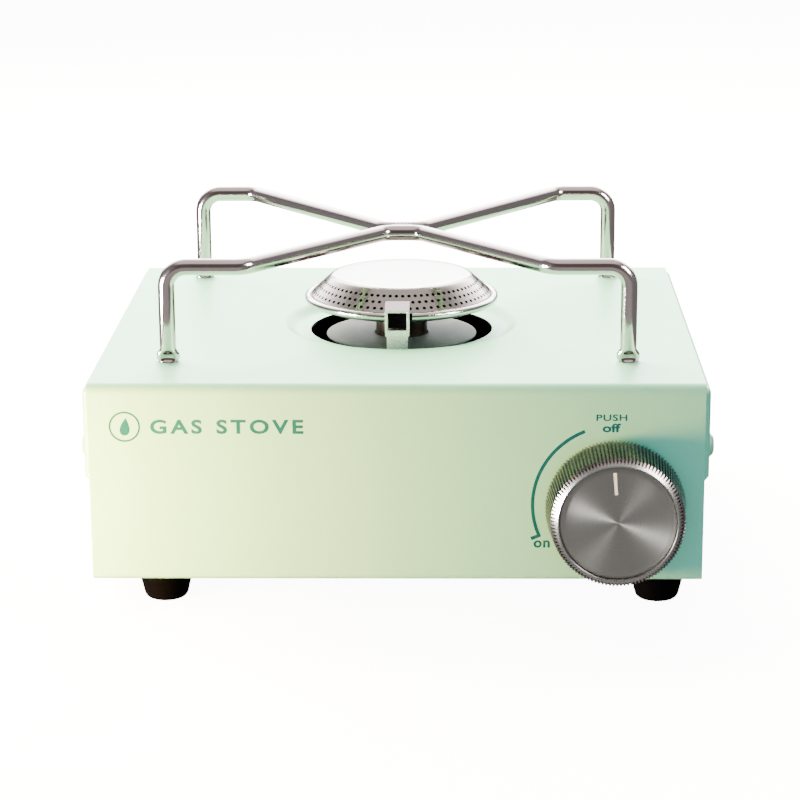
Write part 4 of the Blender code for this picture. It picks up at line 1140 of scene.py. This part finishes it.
# ---------------------------------------------------------------- burner
def wedge_strip(bm, upper, lower, half_angle):
    """Wedge of a turned surface between two (radius, height) points."""
    columns = 4
    rows = []
    for radius, height in (upper, lower):
        row = []
        for column in range(columns + 1):
            angle = half_angle * (2 * column / columns - 1)
            row.append(bm.verts.new((radius * math.cos(angle), radius * math.sin(angle), height)))
        rows.append(row)
    for i in range(columns):
        corners = [rows[0][i], rows[0][i + 1], rows[1][i + 1], rows[1][i]]
        if upper[0] < 1e-7:
            corners = [rows[0][0], rows[1][i + 1], rows[1][i]]
        elif lower[0] < 1e-7:
            corners = [rows[0][i], rows[0][i + 1], rows[1][0]]
        bm.faces.new(corners)


def square_ring(count):
    """Points round the edge of a square from -1 to 1, count on each side, from its lower left."""
    ring = [(-1 + 2 * i / count, -1) for i in range(count)]
    ring += [(1, -1 + 2 * i / count) for i in range(count)]
    ring += [(1 - 2 * i / count, 1) for i in range(count)]
    ring += [(-1, 1 - 2 * i / count) for i in range(count)]
    return ring


def add_hole_cell(bm, band, centre_share, half_share, offset_angle, half_angle, hole_radius):
    """One cell of the cone with a round hole through the sheet, outer and inner skin and wall."""
    (outer_top, outer_low), (inner_top, inner_low) = band
    length = math.dist(outer_top, outer_low)
    square = square_ring(4)
    skins = []
    for top, low in ((outer_top, outer_low), (inner_top, inner_low)):
        rim, hole = [], []
        for u, v in square:
            share = centre_share + v * half_share
            radius = top[0] + (low[0] - top[0]) * share
            height = top[1] + (low[1] - top[1]) * share
            angle = offset_angle + u * half_angle
            rim.append(bm.verts.new((radius * math.cos(angle), radius * math.sin(angle), height)))
            turn = math.atan2(v, u)
            hole_share = centre_share + math.sin(turn) * hole_radius / length
            hole_r = top[0] + (low[0] - top[0]) * hole_share
            hole_z = top[1] + (low[1] - top[1]) * hole_share
            hole_angle = offset_angle + math.cos(turn) * hole_radius / hole_r
            hole.append(
                bm.verts.new((hole_r * math.cos(hole_angle), hole_r * math.sin(hole_angle), hole_z))
            )
        count = len(square)
        for i in range(count):
            n = (i + 1) % count
            bm.faces.new((rim[i], rim[n], hole[n], hole[i]))
        skins.append(hole)
    count = len(square)
    for i in range(count):
        n = (i + 1) % count
        bm.faces.new((skins[0][i], skins[0][n], skins[1][n], skins[1][i]))


def head_profile(depth):
    """(radius, height) points of the head from its middle to its skirt, depth below the surface."""
    slope = (0.674, 0.739)
    surface = [
        ((0.0, 0.0), (0, 1)), ((9.0, 0.0), (0, 1)), ((17.0, 0.0), (0, 1)), ((20.8, 0.0), (0, 1)),
        ((21.6, -0.03), (0.1, 0.99)), ((22.15, -0.16), (0.35, 0.94)), ((22.65, -0.5), slope),
    ]
    base = (RIM_HIGH.z - CAP_Z) / MM
    surface += [
        ((28.75, base + 0.05), slope), ((28.65, base - 0.4), (1, 0)),
        ((28.3, base - 1.0), (1, 0)), ((28.2, base - 1.7), (1, 0)),
    ]
    points = []
    for (radius, height), (outward, upward) in surface:
        points.append(
            (max(radius * MM - outward * depth, 0.0), CAP_Z + height * MM - upward * depth)
        )
    return points


def head_wedge(sizes, outer_depth, inner_depth):
    """One wedge of the burner's head between two depths: cap, pierced cone and skirt."""
    half_angle = math.pi / sizes.hole_count
    rows = (0.255, 0.545, 0.835)
    half_cell = 0.145
    cone_start = 6
    bm = bmesh.new()
    skins = [head_profile(outer_depth), head_profile(inner_depth)]
    for skin in skins:
        top, low = Vector(skin[cone_start]), Vector(skin[cone_start + 1])
        first = top.lerp(low, rows[0] - half_cell)
        last = top.lerp(low, rows[-1] + half_cell)
        upper_line = [*skin[: cone_start + 1], first]
        lower_line = [last, *skin[cone_start + 1 :]]
        for line in (upper_line, lower_line):
            for upper, lower in zip(line, line[1:]):
                wedge_strip(bm, upper, lower, half_angle)
    wedge_strip(bm, skins[0][-1], skins[1][-1], half_angle)
    band = [(skin[cone_start], skin[cone_start + 1]) for skin in skins]
    for number, centre in enumerate(rows):
        offset = half_angle if number % 2 else 0.0
        add_hole_cell(bm, band, centre, half_cell, offset, half_angle, sizes.hole_radius)
    return bm


def make_burner_head(sizes):
    """Bright pierced skin over a near black pierced liner, painted shade, so the holes read dark."""
    place = (BURNER.x, BURNER.y, 0)
    skin = ring_of(
        head_wedge(sizes, 0.0, 0.05 * MM), "burner_head_pierced", "stamped", sizes.hole_count,
        place, "+Z", 40.0,
    )
    liner = ring_of(
        head_wedge(sizes, 0.06 * MM, 0.8 * MM), "burner_head_liner", "shade_black", sizes.hole_count,
        place, "+Z", 40.0,
    )
    skin.data.materials.append(FINISHES["worn"])
    for polygon in skin.data.polygons:
        if 0.5 < polygon.normal.z < 0.9:
            polygon.material_index = 1
    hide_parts("burner_head")
    for piece in (skin, liner):
        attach(piece, SHELL)


def make_burner_bowl():
    bead_z = RIM_HIGH.z - 1.25 * MM
    neck_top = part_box("mixing_tube")[1][2]
    collar, wall = 6.7 * MM, 0.8 * MM
    under = [
        (collar - wall, RIM_LOW.z), (collar, RIM_LOW.z), (collar, neck_top + 0.3 * MM),
        (20.0 * MM, bead_z - 3.1 * MM), (26.6 * MM, bead_z - 2.4 * MM),
    ]
    bead = arc((RIM_HIGH.x - 1.25 * MM, bead_z), 1.25 * MM, -118, 158, 20)
    inside = [
        (28.4 * MM, bead_z - 0.5 * MM), (26.2 * MM, bead_z - 1.6 * MM),
        (19.6 * MM, bead_z - 2.2 * MM), (collar, neck_top + 1.3 * MM),
        (collar - wall, neck_top + 1.2 * MM),
    ]
    bm = spun_bmesh([*under, *bead, *inside], (BURNER.x, BURNER.y, 0), "+Z", 128)
    bowl = object_from(bm, "burner_bowl_rolled", "stamped", 50.0)
    notch = (
        (-4.05 * MM, BURNER.y - 33 * MM, bead_z - 1.4 * MM),
        (4.05 * MM, BURNER.y - 28.5 * MM, bead_z + 3 * MM),
    )
    edge_finish(bowl, 0.0, [cutter([notch])], angle=50.0)
    # the upward faces inside the bowl, under the head, get the near black: painted shade
    bowl.data.materials.append(FINISHES["shade_black"])
    for polygon in bowl.data.polygons:
        out = math.hypot(polygon.center.x - BURNER.x, polygon.center.y - BURNER.y)
        if polygon.normal.z > 0 and out < 28.6 * MM:
            polygon.material_index = 1
    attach(bowl, SHELL)
    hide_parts("burner_bowl")


def make_reflector():
    low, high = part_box("reflector_plate")
    radius = (high[0] - low[0]) / 2
    profile = [
        (8.5 * MM, low[2]), (radius - 1.2 * MM, low[2]), (radius, low[2] + 0.3 * MM),
        (radius, high[2] - 0.1 * MM), (radius - 1.0 * MM, high[2]), (8.5 * MM, high[2]),
    ]
    plate = turned(
        "reflector_disc", softened(profile, 0.5 * MM, 5), (BURNER.x, BURNER.y, 0), "satin",
        segments=128,
    )
    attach(plate, SHELL)
    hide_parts("reflector_plate")


def make_neck():
    """Cast tube that turns up under the bowl, open at its mouth by the jet and at its top."""
    low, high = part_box("mixing_tube")
    level = low[2] + 8.1 * MM
    corners = [(high[0], BURNER.y, level), (BURNER.x, BURNER.y, level), (BURNER.x, BURNER.y, high[2])]
    path = bent_path(corners, [13 * MM], 12)
    bm = bmesh.new()
    swept(bm, path, lambda point: (8.2 * MM, 8.2 * MM, 0.0), 48, (0, 1, 0))
    ends = [f for f in bm.faces if len(f.verts) > 4]
    bmesh.ops.inset_individual(bm, faces=ends, thickness=1.2 * MM)
    for face in ends:
        normal = face.normal.copy()
        face.normal_update()
        deep = bmesh.ops.extrude_discrete_faces(bm, faces=[face])["faces"][0]
        bmesh.ops.translate(bm, verts=deep.verts[:], vec=-normal * 6 * MM)
    neck = object_from(bm, "mixing_tube_cast", "dark_steel", 40.0)
    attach(neck, SHELL)
    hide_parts("mixing_tube")


def make_shield():
    """Clip over the rim: sloping hood, two cheeks beside a dark window, and a tab into the opening."""
    low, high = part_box("electrode_shield")
    half = high[0]
    sheet = 0.8 * MM
    front, hood_back = low[1], BURNER.y - 27.9 * MM
    hood_z = high[2] - 2.1 * MM
    wall_low = RIM_HIGH.z - 5.5 * MM
    hood = bmesh.new()
    for corner in add_box(hood, (-half, front, hood_z), (half, hood_back, hood_z + sheet)):
        if corner.co.y > front + MM:
            corner.co.z += 1.9 * MM
    clip = object_from(hood, "electrode_clip", "nickel")
    tab_y = front + 0.9 * MM
    tab_half = 3.25 * MM
    foot_z = low[2]
    boxes = [
        ((-half, front, wall_low), (-half + sheet, hood_back - MM, hood_z + 0.5 * MM)),
        ((half - sheet, front, wall_low), (half, hood_back - MM, hood_z + 0.5 * MM)),
        ((-half + 0.05 * MM, front + 0.1 * MM, wall_low - 1.2 * MM),
         (half - 0.05 * MM, tab_y + 0.5 * MM, wall_low + 0.6 * MM)),
        ((-tab_half, tab_y, foot_z), (tab_half, tab_y + sheet, wall_low)),
        ((-tab_half + 0.05 * MM, tab_y + 0.1 * MM, foot_z + 0.05 * MM),
         (tab_half - 0.05 * MM, high[1], foot_z + sheet)),
    ]
    tools = []
    for low_corner, high_corner in boxes:
        tool = cutter([(low_corner, high_corner)])
        joint = clip.modifiers.new("join", "BOOLEAN")
        joint.operation = "UNION"
        joint.solver = "EXACT"
        joint.object = tool
        tools.append(tool)
    settle(clip)
    for tool in tools:
        bpy.data.objects.remove(tool, do_unlink=True)
    place = middle("electrode_insulator")
    hole = ((place.x, place.y, foot_z - 2 * MM), (place.x, place.y, foot_z + 3 * MM), 2.65 * MM)
    edge_finish(clip, 0.22 * MM, [cutter([], [hole])], segments=3, angle=30.0)
    clip.data.transform(Matrix.Translation((-0.6 * MM, 0, 0)))
    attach(clip, SHELL)
    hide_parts("electrode_shield")


def make_window_shadow_plate():
    """Black plate that closes the clip's window: painted shadow of the cavity behind it."""
    low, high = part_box("electrode_shield")
    front = low[1] + 1.5 * MM
    bm = bmesh.new()
    add_box(
        bm,
        (-3.4 * MM, front, RIM_HIGH.z - 4.4 * MM),
        (2.4 * MM, front + 0.5 * MM, high[2] - 2.2 * MM),
    )
    pocket = object_from(bm, "electrode_pocket", "shade_black")
    edge_finish(pocket, 0.1 * MM)
    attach(pocket, SHELL)


def make_electrode():
    low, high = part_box("electrode_insulator")
    place = middle("electrode_insulator")
    tube = [(0.9 * MM, low[2]), (2.25 * MM, low[2]), (2.25 * MM, high[2]), (0.9 * MM, high[2])]
    insulator = turned(
        "insulator_glazed", softened(tube, 0.4 * MM, 4), (place.x, place.y, 0), "ceramic",
        segments=40,
    )
    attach(insulator, SHELL)
    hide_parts("electrode_insulator")
    low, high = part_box("electrode_tip")
    rod = [(0.0, low[2]), (0.6 * MM, low[2]), (0.6 * MM, high[2] - 0.8 * MM), (0.0, high[2])]
    outline, foot = softened(rod, 0.3 * MM, 3), (place.x, place.y, 0)
    tip = turned("electrode_rod", outline, foot, "dark_steel", segments=24)
    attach(tip, SHELL)
    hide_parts("electrode_tip")


# ---------------------------------------------------------------- knob
def knurl_wedge(sizes):
    """One ridge of the knob's rim, run out in the front chamfer, with the inside and the web."""
    half_angle = math.pi / sizes.knurl_count
    back, rim = KNOB_BACK_GAP, KNOB_REACH
    back_radius, front_radius, depth = 20.65 * MM, 19.3 * MM, 0.6 * MM
    chamfer_radius, chamfer_slope = 17.5 * MM, 1.15
    taper = (back_radius - front_radius) / (rim - back)
    columns = [(-1.0, 1.0), (-0.66, 0.86), (-0.34, 0.1), (0.0, 0.0), (0.34, 0.1), (0.66, 0.86), (1.0, 1.0)]

    bm = bmesh.new()
    crest = bm.verts.layers.float.new("crest")

    def row_at(points, cut=False):
        row = []
        for (place, fall), (r, z) in zip(columns, points):
            angle = half_angle * place
            vertex = bm.verts.new((r * math.cos(angle), r * math.sin(angle), z))
            # painted lightness: full on the plain faces, less on the ridge tops, least in the grooves,
            # where it paints shade
            vertex[crest] = 0.7 * (1.0 - fall) if cut else 1.0
            row.append(vertex)
        return row

    rows = []
    for height, share, inset in ((back, 0.7, 0.3 * MM), (back + 0.4 * MM, 1.0, 0.0)):
        outside = front_radius + taper * (rim - height) - inset
        rows.append(row_at([(outside - depth * share * fall, height) for _, fall in columns], True))
    run_out = []
    for _, fall in columns:
        below = (front_radius - depth * fall - chamfer_radius) / (chamfer_slope - taper)
        run_out.append((chamfer_radius + chamfer_slope * below, rim - below))
    rows.append(row_at(run_out, True))
    plain = [
        (chamfer_radius + 0.25 * MM, rim - 0.2 * MM),
        (chamfer_radius - 0.05 * MM, rim),
        (17.15 * MM, rim - 0.06 * MM),
        (17.02 * MM, rim - 0.25 * MM),
        (17.0 * MM, rim - 2.4 * MM),
        (7.3 * MM, rim - 2.4 * MM),
        (7.3 * MM, rim - 6.0 * MM),
        (front_radius - 1.8 * MM, rim - 6.0 * MM),
        (back_radius - 1.9 * MM, back),
    ]
    rows += [row_at([point] * len(columns)) for point in plain]
    rows.append(rows[0])
    for row, following in zip(rows, rows[1:]):
        for i in range(len(columns) - 1):
            bm.faces.new((row[i], row[i + 1], following[i + 1], following[i]))
    return bm


def make_knob_ring(sizes):
    place = (KNOB_CENTRE.x, FRONT_Y, KNOB_CENTRE.z)
    ring = ring_of(knurl_wedge(sizes), "knob_ring_knurled", "knurl", sizes.knurl_count, place, "-Y", 38.0)
    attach(ring, KNOB)
    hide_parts("knob_shell")


def make_knob_disc():
    """Faced disc set into the ring. Its UV runs round the turning axis, for the lathe's sheen."""
    rim = KNOB_REACH
    radius = 16.9 * MM
    place = (KNOB_CENTRE.x, FRONT_Y, KNOB_CENTRE.z)
    front = rim - 1.0 * MM
    profile = [(0.0, front), (0.7 * MM, front)]
    profile += [(r * MM, front) for r in (3.0, 6.0, 9.0, 12.0, 15.0)]
    profile += [(radius - 0.45 * MM, front), (radius - 0.12 * MM, front - 0.1 * MM)]
    profile += [(radius, front - 0.4 * MM), (radius, rim - 2.3 * MM), (0.0, rim - 2.3 * MM)]
    bm = spun_bmesh(profile, place, "-Y", 128)
    disc = object_from(bm, "knob_disc_spun", "spun", 30.0)
    layer = disc.data.uv_layers.new(name="turning")
    for polygon in disc.data.polygons:
        centre = Vector((polygon.center.x - place[0], polygon.center.z - place[2]))
        base = math.atan2(centre.y, centre.x)
        for loop_index in polygon.loop_indices:
            co = disc.data.vertices[disc.data.loops[loop_index].vertex_index].co
            flat = Vector((co.x - place[0], co.z - place[2]))
            angle = math.atan2(flat.y, flat.x) if flat.length > 1e-7 else base
            angle = base + (angle - base + math.pi) % (2 * math.pi) - math.pi
            layer.data[loop_index].uv = (angle / math.pi, flat.length / radius)
    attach(disc, KNOB)
    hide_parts("knob_face")


def make_pointer():
    """White line on the disc; at rest it leans a few degrees towards the dial's arc."""
    front = FRONT_Y - KNOB_REACH + 1.0 * MM
    bm = bmesh.new()
    add_box(bm, (-0.45 * MM, front - 0.05 * MM, 8.6 * MM), (0.45 * MM, front + 0.1 * MM, 15.2 * MM))
    bm.transform(Matrix.Rotation(math.radians(-4.5), 4, "Y"))
    bm.transform(Matrix.Translation((KNOB_CENTRE.x, 0, KNOB_CENTRE.z)))
    line = object_from(bm, "knob_pointer", "paint")
    edge_finish(line, 0.03 * MM)
    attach(line, KNOB)


def make_return_coil():
    """Return spring round the spindle."""
    low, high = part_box("return_spring")
    wire, turns, push = 0.45 * MM, 4, 2.2 * MM
    coil = (high.x - low.x) / 2 - wire
    length = high.y - low.y
    path = []
    for step in range(turns * 32 + 1):
        share = step / (turns * 32)
        angle = 2 * math.pi * turns * share
        path.append(Vector((
            (low.x + high.x) / 2 + coil * math.cos(angle),
            low.y + wire + (length - 2 * wire) * share,
            (low.z + high.z) / 2 + coil * math.sin(angle),
        )))
    bm = bmesh.new()
    swept(bm, path, lambda point: (wire, wire, 0.0), 12, (1, 0, 0))
    spring = object_from(bm, "return_coil", "zinc", 60.0)
    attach(spring, SHELL)
    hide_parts("return_spring")
    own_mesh(spring)


# ---------------------------------------------------------------- cartridge socket at the back
def make_socket():
    face_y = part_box("regulator_body")[1][1]
    place = (PORT.x, face_y, PORT.z)
    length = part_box("magnet_ring")[1][1] - face_y
    ring = [(14.5 * MM, 0.3 * MM), (18.8 * MM, 0.3 * MM), (18.8 * MM, length), (14.5 * MM, length)]
    magnet = turned("magnet_ring_sintered", softened(ring, 0.5 * MM, 4), place, "ferrite", "+Y", 96)
    nozzle = [
        (0.0, 0.3 * MM), (3.0 * MM, 0.3 * MM), (3.0 * MM, 4.0 * MM), (1.8 * MM, 5.0 * MM),
        (1.8 * MM, 7.0 * MM), (0.7 * MM, 7.0 * MM), (0.7 * MM, 4.0 * MM), (0.0, 4.0 * MM),
    ]
    tip = turned("nozzle_turned", softened(nozzle, 0.2 * MM, 3), place, "brass", "+Y", 48)
    seal = [(3.1 * MM, 0.3 * MM), (5.8 * MM, 0.3 * MM), (5.8 * MM, 2.5 * MM), (3.1 * MM, 2.5 * MM)]
    washer = turned("nozzle_washer", softened(seal, 0.8 * MM, 5), place, "rubber", "+Y", 48)
    body = [
        (0.0, 0.0), (18 * MM, 0.0), (18 * MM, 22 * MM), (12 * MM, 24 * MM),
        (12 * MM, 32 * MM), (0.0, 32 * MM),
    ]
    housing = turned("regulator_housing", softened(body, 0.8 * MM, 4), place, "cast", "-Y", 96)
    made = (
        (magnet, "magnet_ring", "ferrite_magnet"), (tip, "cartridge_nozzle", "brass"),
        (washer, "nozzle_seal", "black_rubber"), (housing, "regulator_body", "die_cast_aluminium"),
    )
    for piece, node, slot_name in made:
        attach(piece, SHELL)
        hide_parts(node)


# ---------------------------------------------------------------- finishes of the frame's pieces
CARRIED_OVER = {
    "zinc": (
        "base_pan", "burner_bracket", "valve_bracket", "regulator_bracket", "thrust_collar",
        "cartridge_locator",
        *["leg_guide_" + place for place in FOOT_PLACES],
    ),
    "plastic": ("knob_hub", "ignition_cam", "igniter_body"),
    "brass": ("spindle", "valve_body", "gas_pipe", "jet_nozzle", "supply_pipe", "igniter_plunger"),
    "cast": ("regulator_cap",),
    "silicone": ("ignition_lead",),
}


def finish_carried_over():
    for finish, nodes in CARRIED_OVER.items():
        for node in nodes:
            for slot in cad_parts[node].material_slots:
                slot.material = FINISHES[finish]


# ---------------------------------------------------------------- stage
CAMERA_SPOT = Vector((18.8, -716.2, 254.5)) * MM
CAMERA_LENS = 114.87
CAMERA_PITCH, CAMERA_YAW, CAMERA_ROLL = 15.52, -1.40, -0.36


def make_camera():
    """Camera in front of the knob side, a little above, looking slightly down and to the left."""
    data = bpy.data.cameras.new("camera")
    data.lens = CAMERA_LENS
    data.sensor_width = 36.0
    data.clip_start, data.clip_end = 0.01, 60.0
    camera = linked_object("camera", data)
    pitch, yaw, roll = (math.radians(a) for a in (CAMERA_PITCH, CAMERA_YAW, CAMERA_ROLL))
    forward = Vector((math.sin(yaw) * math.cos(pitch), math.cos(yaw) * math.cos(pitch), -math.sin(pitch)))
    level = Vector((math.cos(yaw), -math.sin(yaw), 0))
    upright = level.cross(forward)
    right = level * math.cos(roll) + upright * math.sin(roll)
    up = upright * math.cos(roll) - level * math.sin(roll)
    turn = Matrix((right, up, -forward)).transposed().to_4x4()
    spot = CAMERA_SPOT + Vector((0, FRONT_Y, BOTTOM_Z))
    camera.matrix_world = Matrix.Translation(spot) @ turn
    bpy.context.scene.camera = camera


def make_light(name, place, target, size, energy, colour=(1, 1, 1), sheen=False):
    """Soft box. A sheen light is seen by gloss only; the others light the matt surfaces only."""
    data = bpy.data.lights.new(name, "AREA")
    data.shape = "RECTANGLE"
    data.size, data.size_y = size
    data.energy = energy
    data.color = colour
    lamp = linked_object(name, data)
    lamp.visible_camera = False
    lamp.visible_diffuse = not sheen
    lamp.visible_glossy = sheen
    lamp.location = place
    lamp.rotation_euler = (Vector(target) - Vector(place)).to_track_quat("-Z", "Y").to_euler()


def make_world():
    """Dim room with a bright wall behind the stove, so bright metal has contrast."""
    world = bpy.data.worlds.new("studio")
    world.use_nodes = True
    tree = world.node_tree
    tree.nodes.clear()
    direction = add_node(tree, "ShaderNodeTexCoord").outputs["Generated"]
    parts = add_node(tree, "ShaderNodeSeparateXYZ", {"Vector": direction}).outputs
    dim, dark = (0.52, 0.52, 0.52, 1.0), (0.14, 0.13, 0.12, 1.0)
    front = blend_colours(tree, share_of(tree, parts["Z"], -0.1, 0.15), dim, dark)
    front = blend_colours(tree, share_of(tree, parts["Z"], 0.7, 0.93), front, (1.3, 1.3, 1.3, 1.0))
    sideways = add_node(tree, "ShaderNodeMath", {0: parts["X"]}, operation="ABSOLUTE").outputs[0]
    room = blend_colours(tree, share_of(tree, sideways, 0.3, 0.8), front, (0.25, 0.27, 0.28, 1.0))
    overhead = share_of(tree, parts["Z"], 0.35, 0.85)
    wall = blend_colours(tree, overhead, (19.0, 19.0, 19.5, 1.0), (2.0, 2.0, 2.0, 1.0))
    middle_part = share_of(tree, sideways, 0.8, 0.35)
    lit = middle_part
    for share in (share_of(tree, parts["Y"], 0.1, 0.5), share_of(tree, parts["Z"], 0.12, 0.25)):
        lit = add_node(tree, "ShaderNodeMath", {0: lit, 1: share}, operation="MULTIPLY").outputs[0]
    glow = add_node(tree, "ShaderNodeBackground", {"Color": blend_colours(tree, lit, room, wall)})
    add_node(tree, "ShaderNodeOutputWorld", {"Surface": glow.outputs["Background"]})
    bpy.context.scene.world = world


def make_floor(colours):
    """Pale paper that glows a little; the stove neither mirrors it nor takes light from it."""
    bm = bmesh.new()
    bmesh.ops.create_grid(bm, x_segments=1, y_segments=1, size=12.0)
    bm.transform(Matrix.Translation((0, 0, -0.05 * MM)))
    mesh = mesh_from(bm, "floor")
    paper = dull("studio_paper", tuple(colours.floor), 0.9, 3.0, 0.01, 0.01, 0.1)
    shader = next(n for n in paper.node_tree.nodes if n.type == "BSDF_PRINCIPLED")
    shader.inputs["Emission Color"].default_value = (1.0, 1.0, 1.0, 1.0)
    shader.inputs["Emission Strength"].default_value = 11.0
    mesh.materials.append(paper)
    floor = bpy.data.objects.new("floor", mesh)
    floor.visible_diffuse = False
    floor.visible_glossy = False
    bpy.context.scene.collection.objects.link(floor)


# ---------------------------------------------------------------- operators
class StoveOperator:
    """Shared access to the settings."""

    @property
    def sizes(self):
        return bpy.context.scene.stove_sizes

    @property
    def colours(self):
        return bpy.context.scene.stove_colours


class STOVE_OT_finishes(StoveOperator, bpy.types.Operator):
    """Makes the finishes and gives them to the frame's inner pieces"""

    bl_idname = "stove.finishes"
    bl_label = "Finishes"

    def execute(self, context):
        FINISHES.update(make_finishes(self.colours))
        finish_carried_over()
        return {"FINISHED"}


class STOVE_OT_casing(StoveOperator, bpy.types.Operator):
    """Makes the folded cover, the two side sheets and the rear sheet"""

    bl_idname = "stove.casing"
    bl_label = "Casing"

    def execute(self, context):
        make_cover(self.sizes)
        make_side_sheet(-1, "left")
        make_side_sheet(1, "right")
        make_rear_sheet(self.sizes)
        make_vent_shade_sheet()
        return {"FINISHED"}


class STOVE_OT_marks(StoveOperator, bpy.types.Operator):
    """Prints the dial marks and the generic label on the front"""

    bl_idname = "stove.marks"
    bl_label = "Printed marks"

    def execute(self, context):
        make_dial_marks()
        make_label()
        return {"FINISHED"}


class STOVE_OT_feet(StoveOperator, bpy.types.Operator):
    """Makes the rubber feet, the screws and the side studs"""

    bl_idname = "stove.feet"
    bl_label = "Feet and fasteners"

    def execute(self, context):
        make_feet()
        make_fasteners()
        return {"FINISHED"}


class STOVE_OT_support(StoveOperator, bpy.types.Operator):
    """Bends the two wires of the pan support and welds them"""

    bl_idname = "stove.support"
    bl_label = "Pan support"

    def execute(self, context):
        make_support_wire("support_wire_front", "front_wire", FRONT_LEG_Y, 46.0 * MM, self.sizes)
        make_support_wire("support_wire_rear", "rear_wire", REAR_LEG_Y, 51.5 * MM, self.sizes)
        make_weld()
        return {"FINISHED"}


class STOVE_OT_burner(StoveOperator, bpy.types.Operator):
    """Makes the pierced head, the rolled bowl, the reflector and the neck"""

    bl_idname = "stove.burner"
    bl_label = "Burner"

    def execute(self, context):
        make_burner_head(self.sizes)
        make_burner_bowl()
        make_reflector()
        make_neck()
        return {"FINISHED"}


class STOVE_OT_electrode(StoveOperator, bpy.types.Operator):
    """Makes the electrode's clip, insulator and rod"""

    bl_idname = "stove.electrode"
    bl_label = "Electrode"

    def execute(self, context):
        make_shield()
        make_window_shadow_plate()
        make_electrode()
        return {"FINISHED"}


class STOVE_OT_knob(StoveOperator, bpy.types.Operator):
    """Makes the knurled ring, the spun disc, the pointer line and the return spring"""

    bl_idname = "stove.knob"
    bl_label = "Knob"

    def execute(self, context):
        make_knob_ring(self.sizes)
        make_knob_disc()
        make_pointer()
        make_return_coil()
        return {"FINISHED"}


class STOVE_OT_socket(StoveOperator, bpy.types.Operator):
    """Makes the cartridge socket at the back"""

    bl_idname = "stove.socket"
    bl_label = "Cartridge socket"

    def execute(self, context):
        make_socket()
        return {"FINISHED"}


class STOVE_OT_stage(StoveOperator, bpy.types.Operator):
    """Makes the floor, the studio light and the camera"""

    bl_idname = "stove.stage"
    bl_label = "Stage"

    def execute(self, context):
        make_floor(self.colours)
        make_world()
        side, left_edge = (-0.155, FRONT_Y - 0.07, 0.03), (-0.08, FRONT_Y, 0.03)
        knob_front, middle_top = (KNOB_CENTRE.x, FRONT_Y - 0.02, KNOB_CENTRE.z), (0, 0, 0.06)
        far_left, corner = (-0.6, FRONT_Y - 0.22, 0.05), (0.5, FRONT_Y - 0.2, 0.4)
        make_light("key_left", side, left_edge, (0.08, 0.07), 4.1, (1.0, 0.5, 0.16))
        make_light("sheen_left", far_left, knob_front, (0.25, 0.22), 62, sheen=True)
        make_light("sheen_right", corner, knob_front, (0.25, 0.25), 8, sheen=True)
        make_light("back_light", (-0.25, 0.55, 0.68), middle_top, (0.9, 0.7), 84, (0.97, 0.85, 0.58))
        make_light("front_fill", (0.1, -1.2, 0.3), middle_top, (1.2, 0.8), 10.5, (0.2, 0.75, 1.0))
        make_camera()
        return {"FINISHED"}


OPERATORS = (
    STOVE_OT_finishes, STOVE_OT_stage, STOVE_OT_casing, STOVE_OT_marks, STOVE_OT_feet,
    STOVE_OT_support, STOVE_OT_burner, STOVE_OT_electrode, STOVE_OT_knob, STOVE_OT_socket,
)


class STOVE_PT_panel(bpy.types.Panel):
    """Lists the settings and the steps in the sidebar"""

    bl_idname = "STOVE_PT_panel"
    bl_label = "Camping stove"
    bl_space_type = "VIEW_3D"
    bl_region_type = "UI"
    bl_category = "Stove"

    def draw(self, context):
        for group in (context.scene.stove_sizes, context.scene.stove_colours):
            for name in group.__annotations__:
                self.layout.prop(group, name)
        for operator in OPERATORS:
            self.layout.operator(operator.bl_idname)


CLASSES = (StoveSizes, StoveColours, *OPERATORS, STOVE_PT_panel)


def register():
    for cls in CLASSES:
        bpy.utils.register_class(cls)
    bpy.types.Scene.stove_sizes = bpy.props.PointerProperty(type=StoveSizes)
    bpy.types.Scene.stove_colours = bpy.props.PointerProperty(type=StoveColours)


def unregister():
    del bpy.types.Scene.stove_colours
    del bpy.types.Scene.stove_sizes
    for cls in reversed(CLASSES):
        bpy.utils.unregister_class(cls)


def main():
    register()
    for operator in OPERATORS:
        group, name = operator.bl_idname.split(".")
        getattr(getattr(bpy.ops, group), name)()


if __name__ == "__main__":
    main()
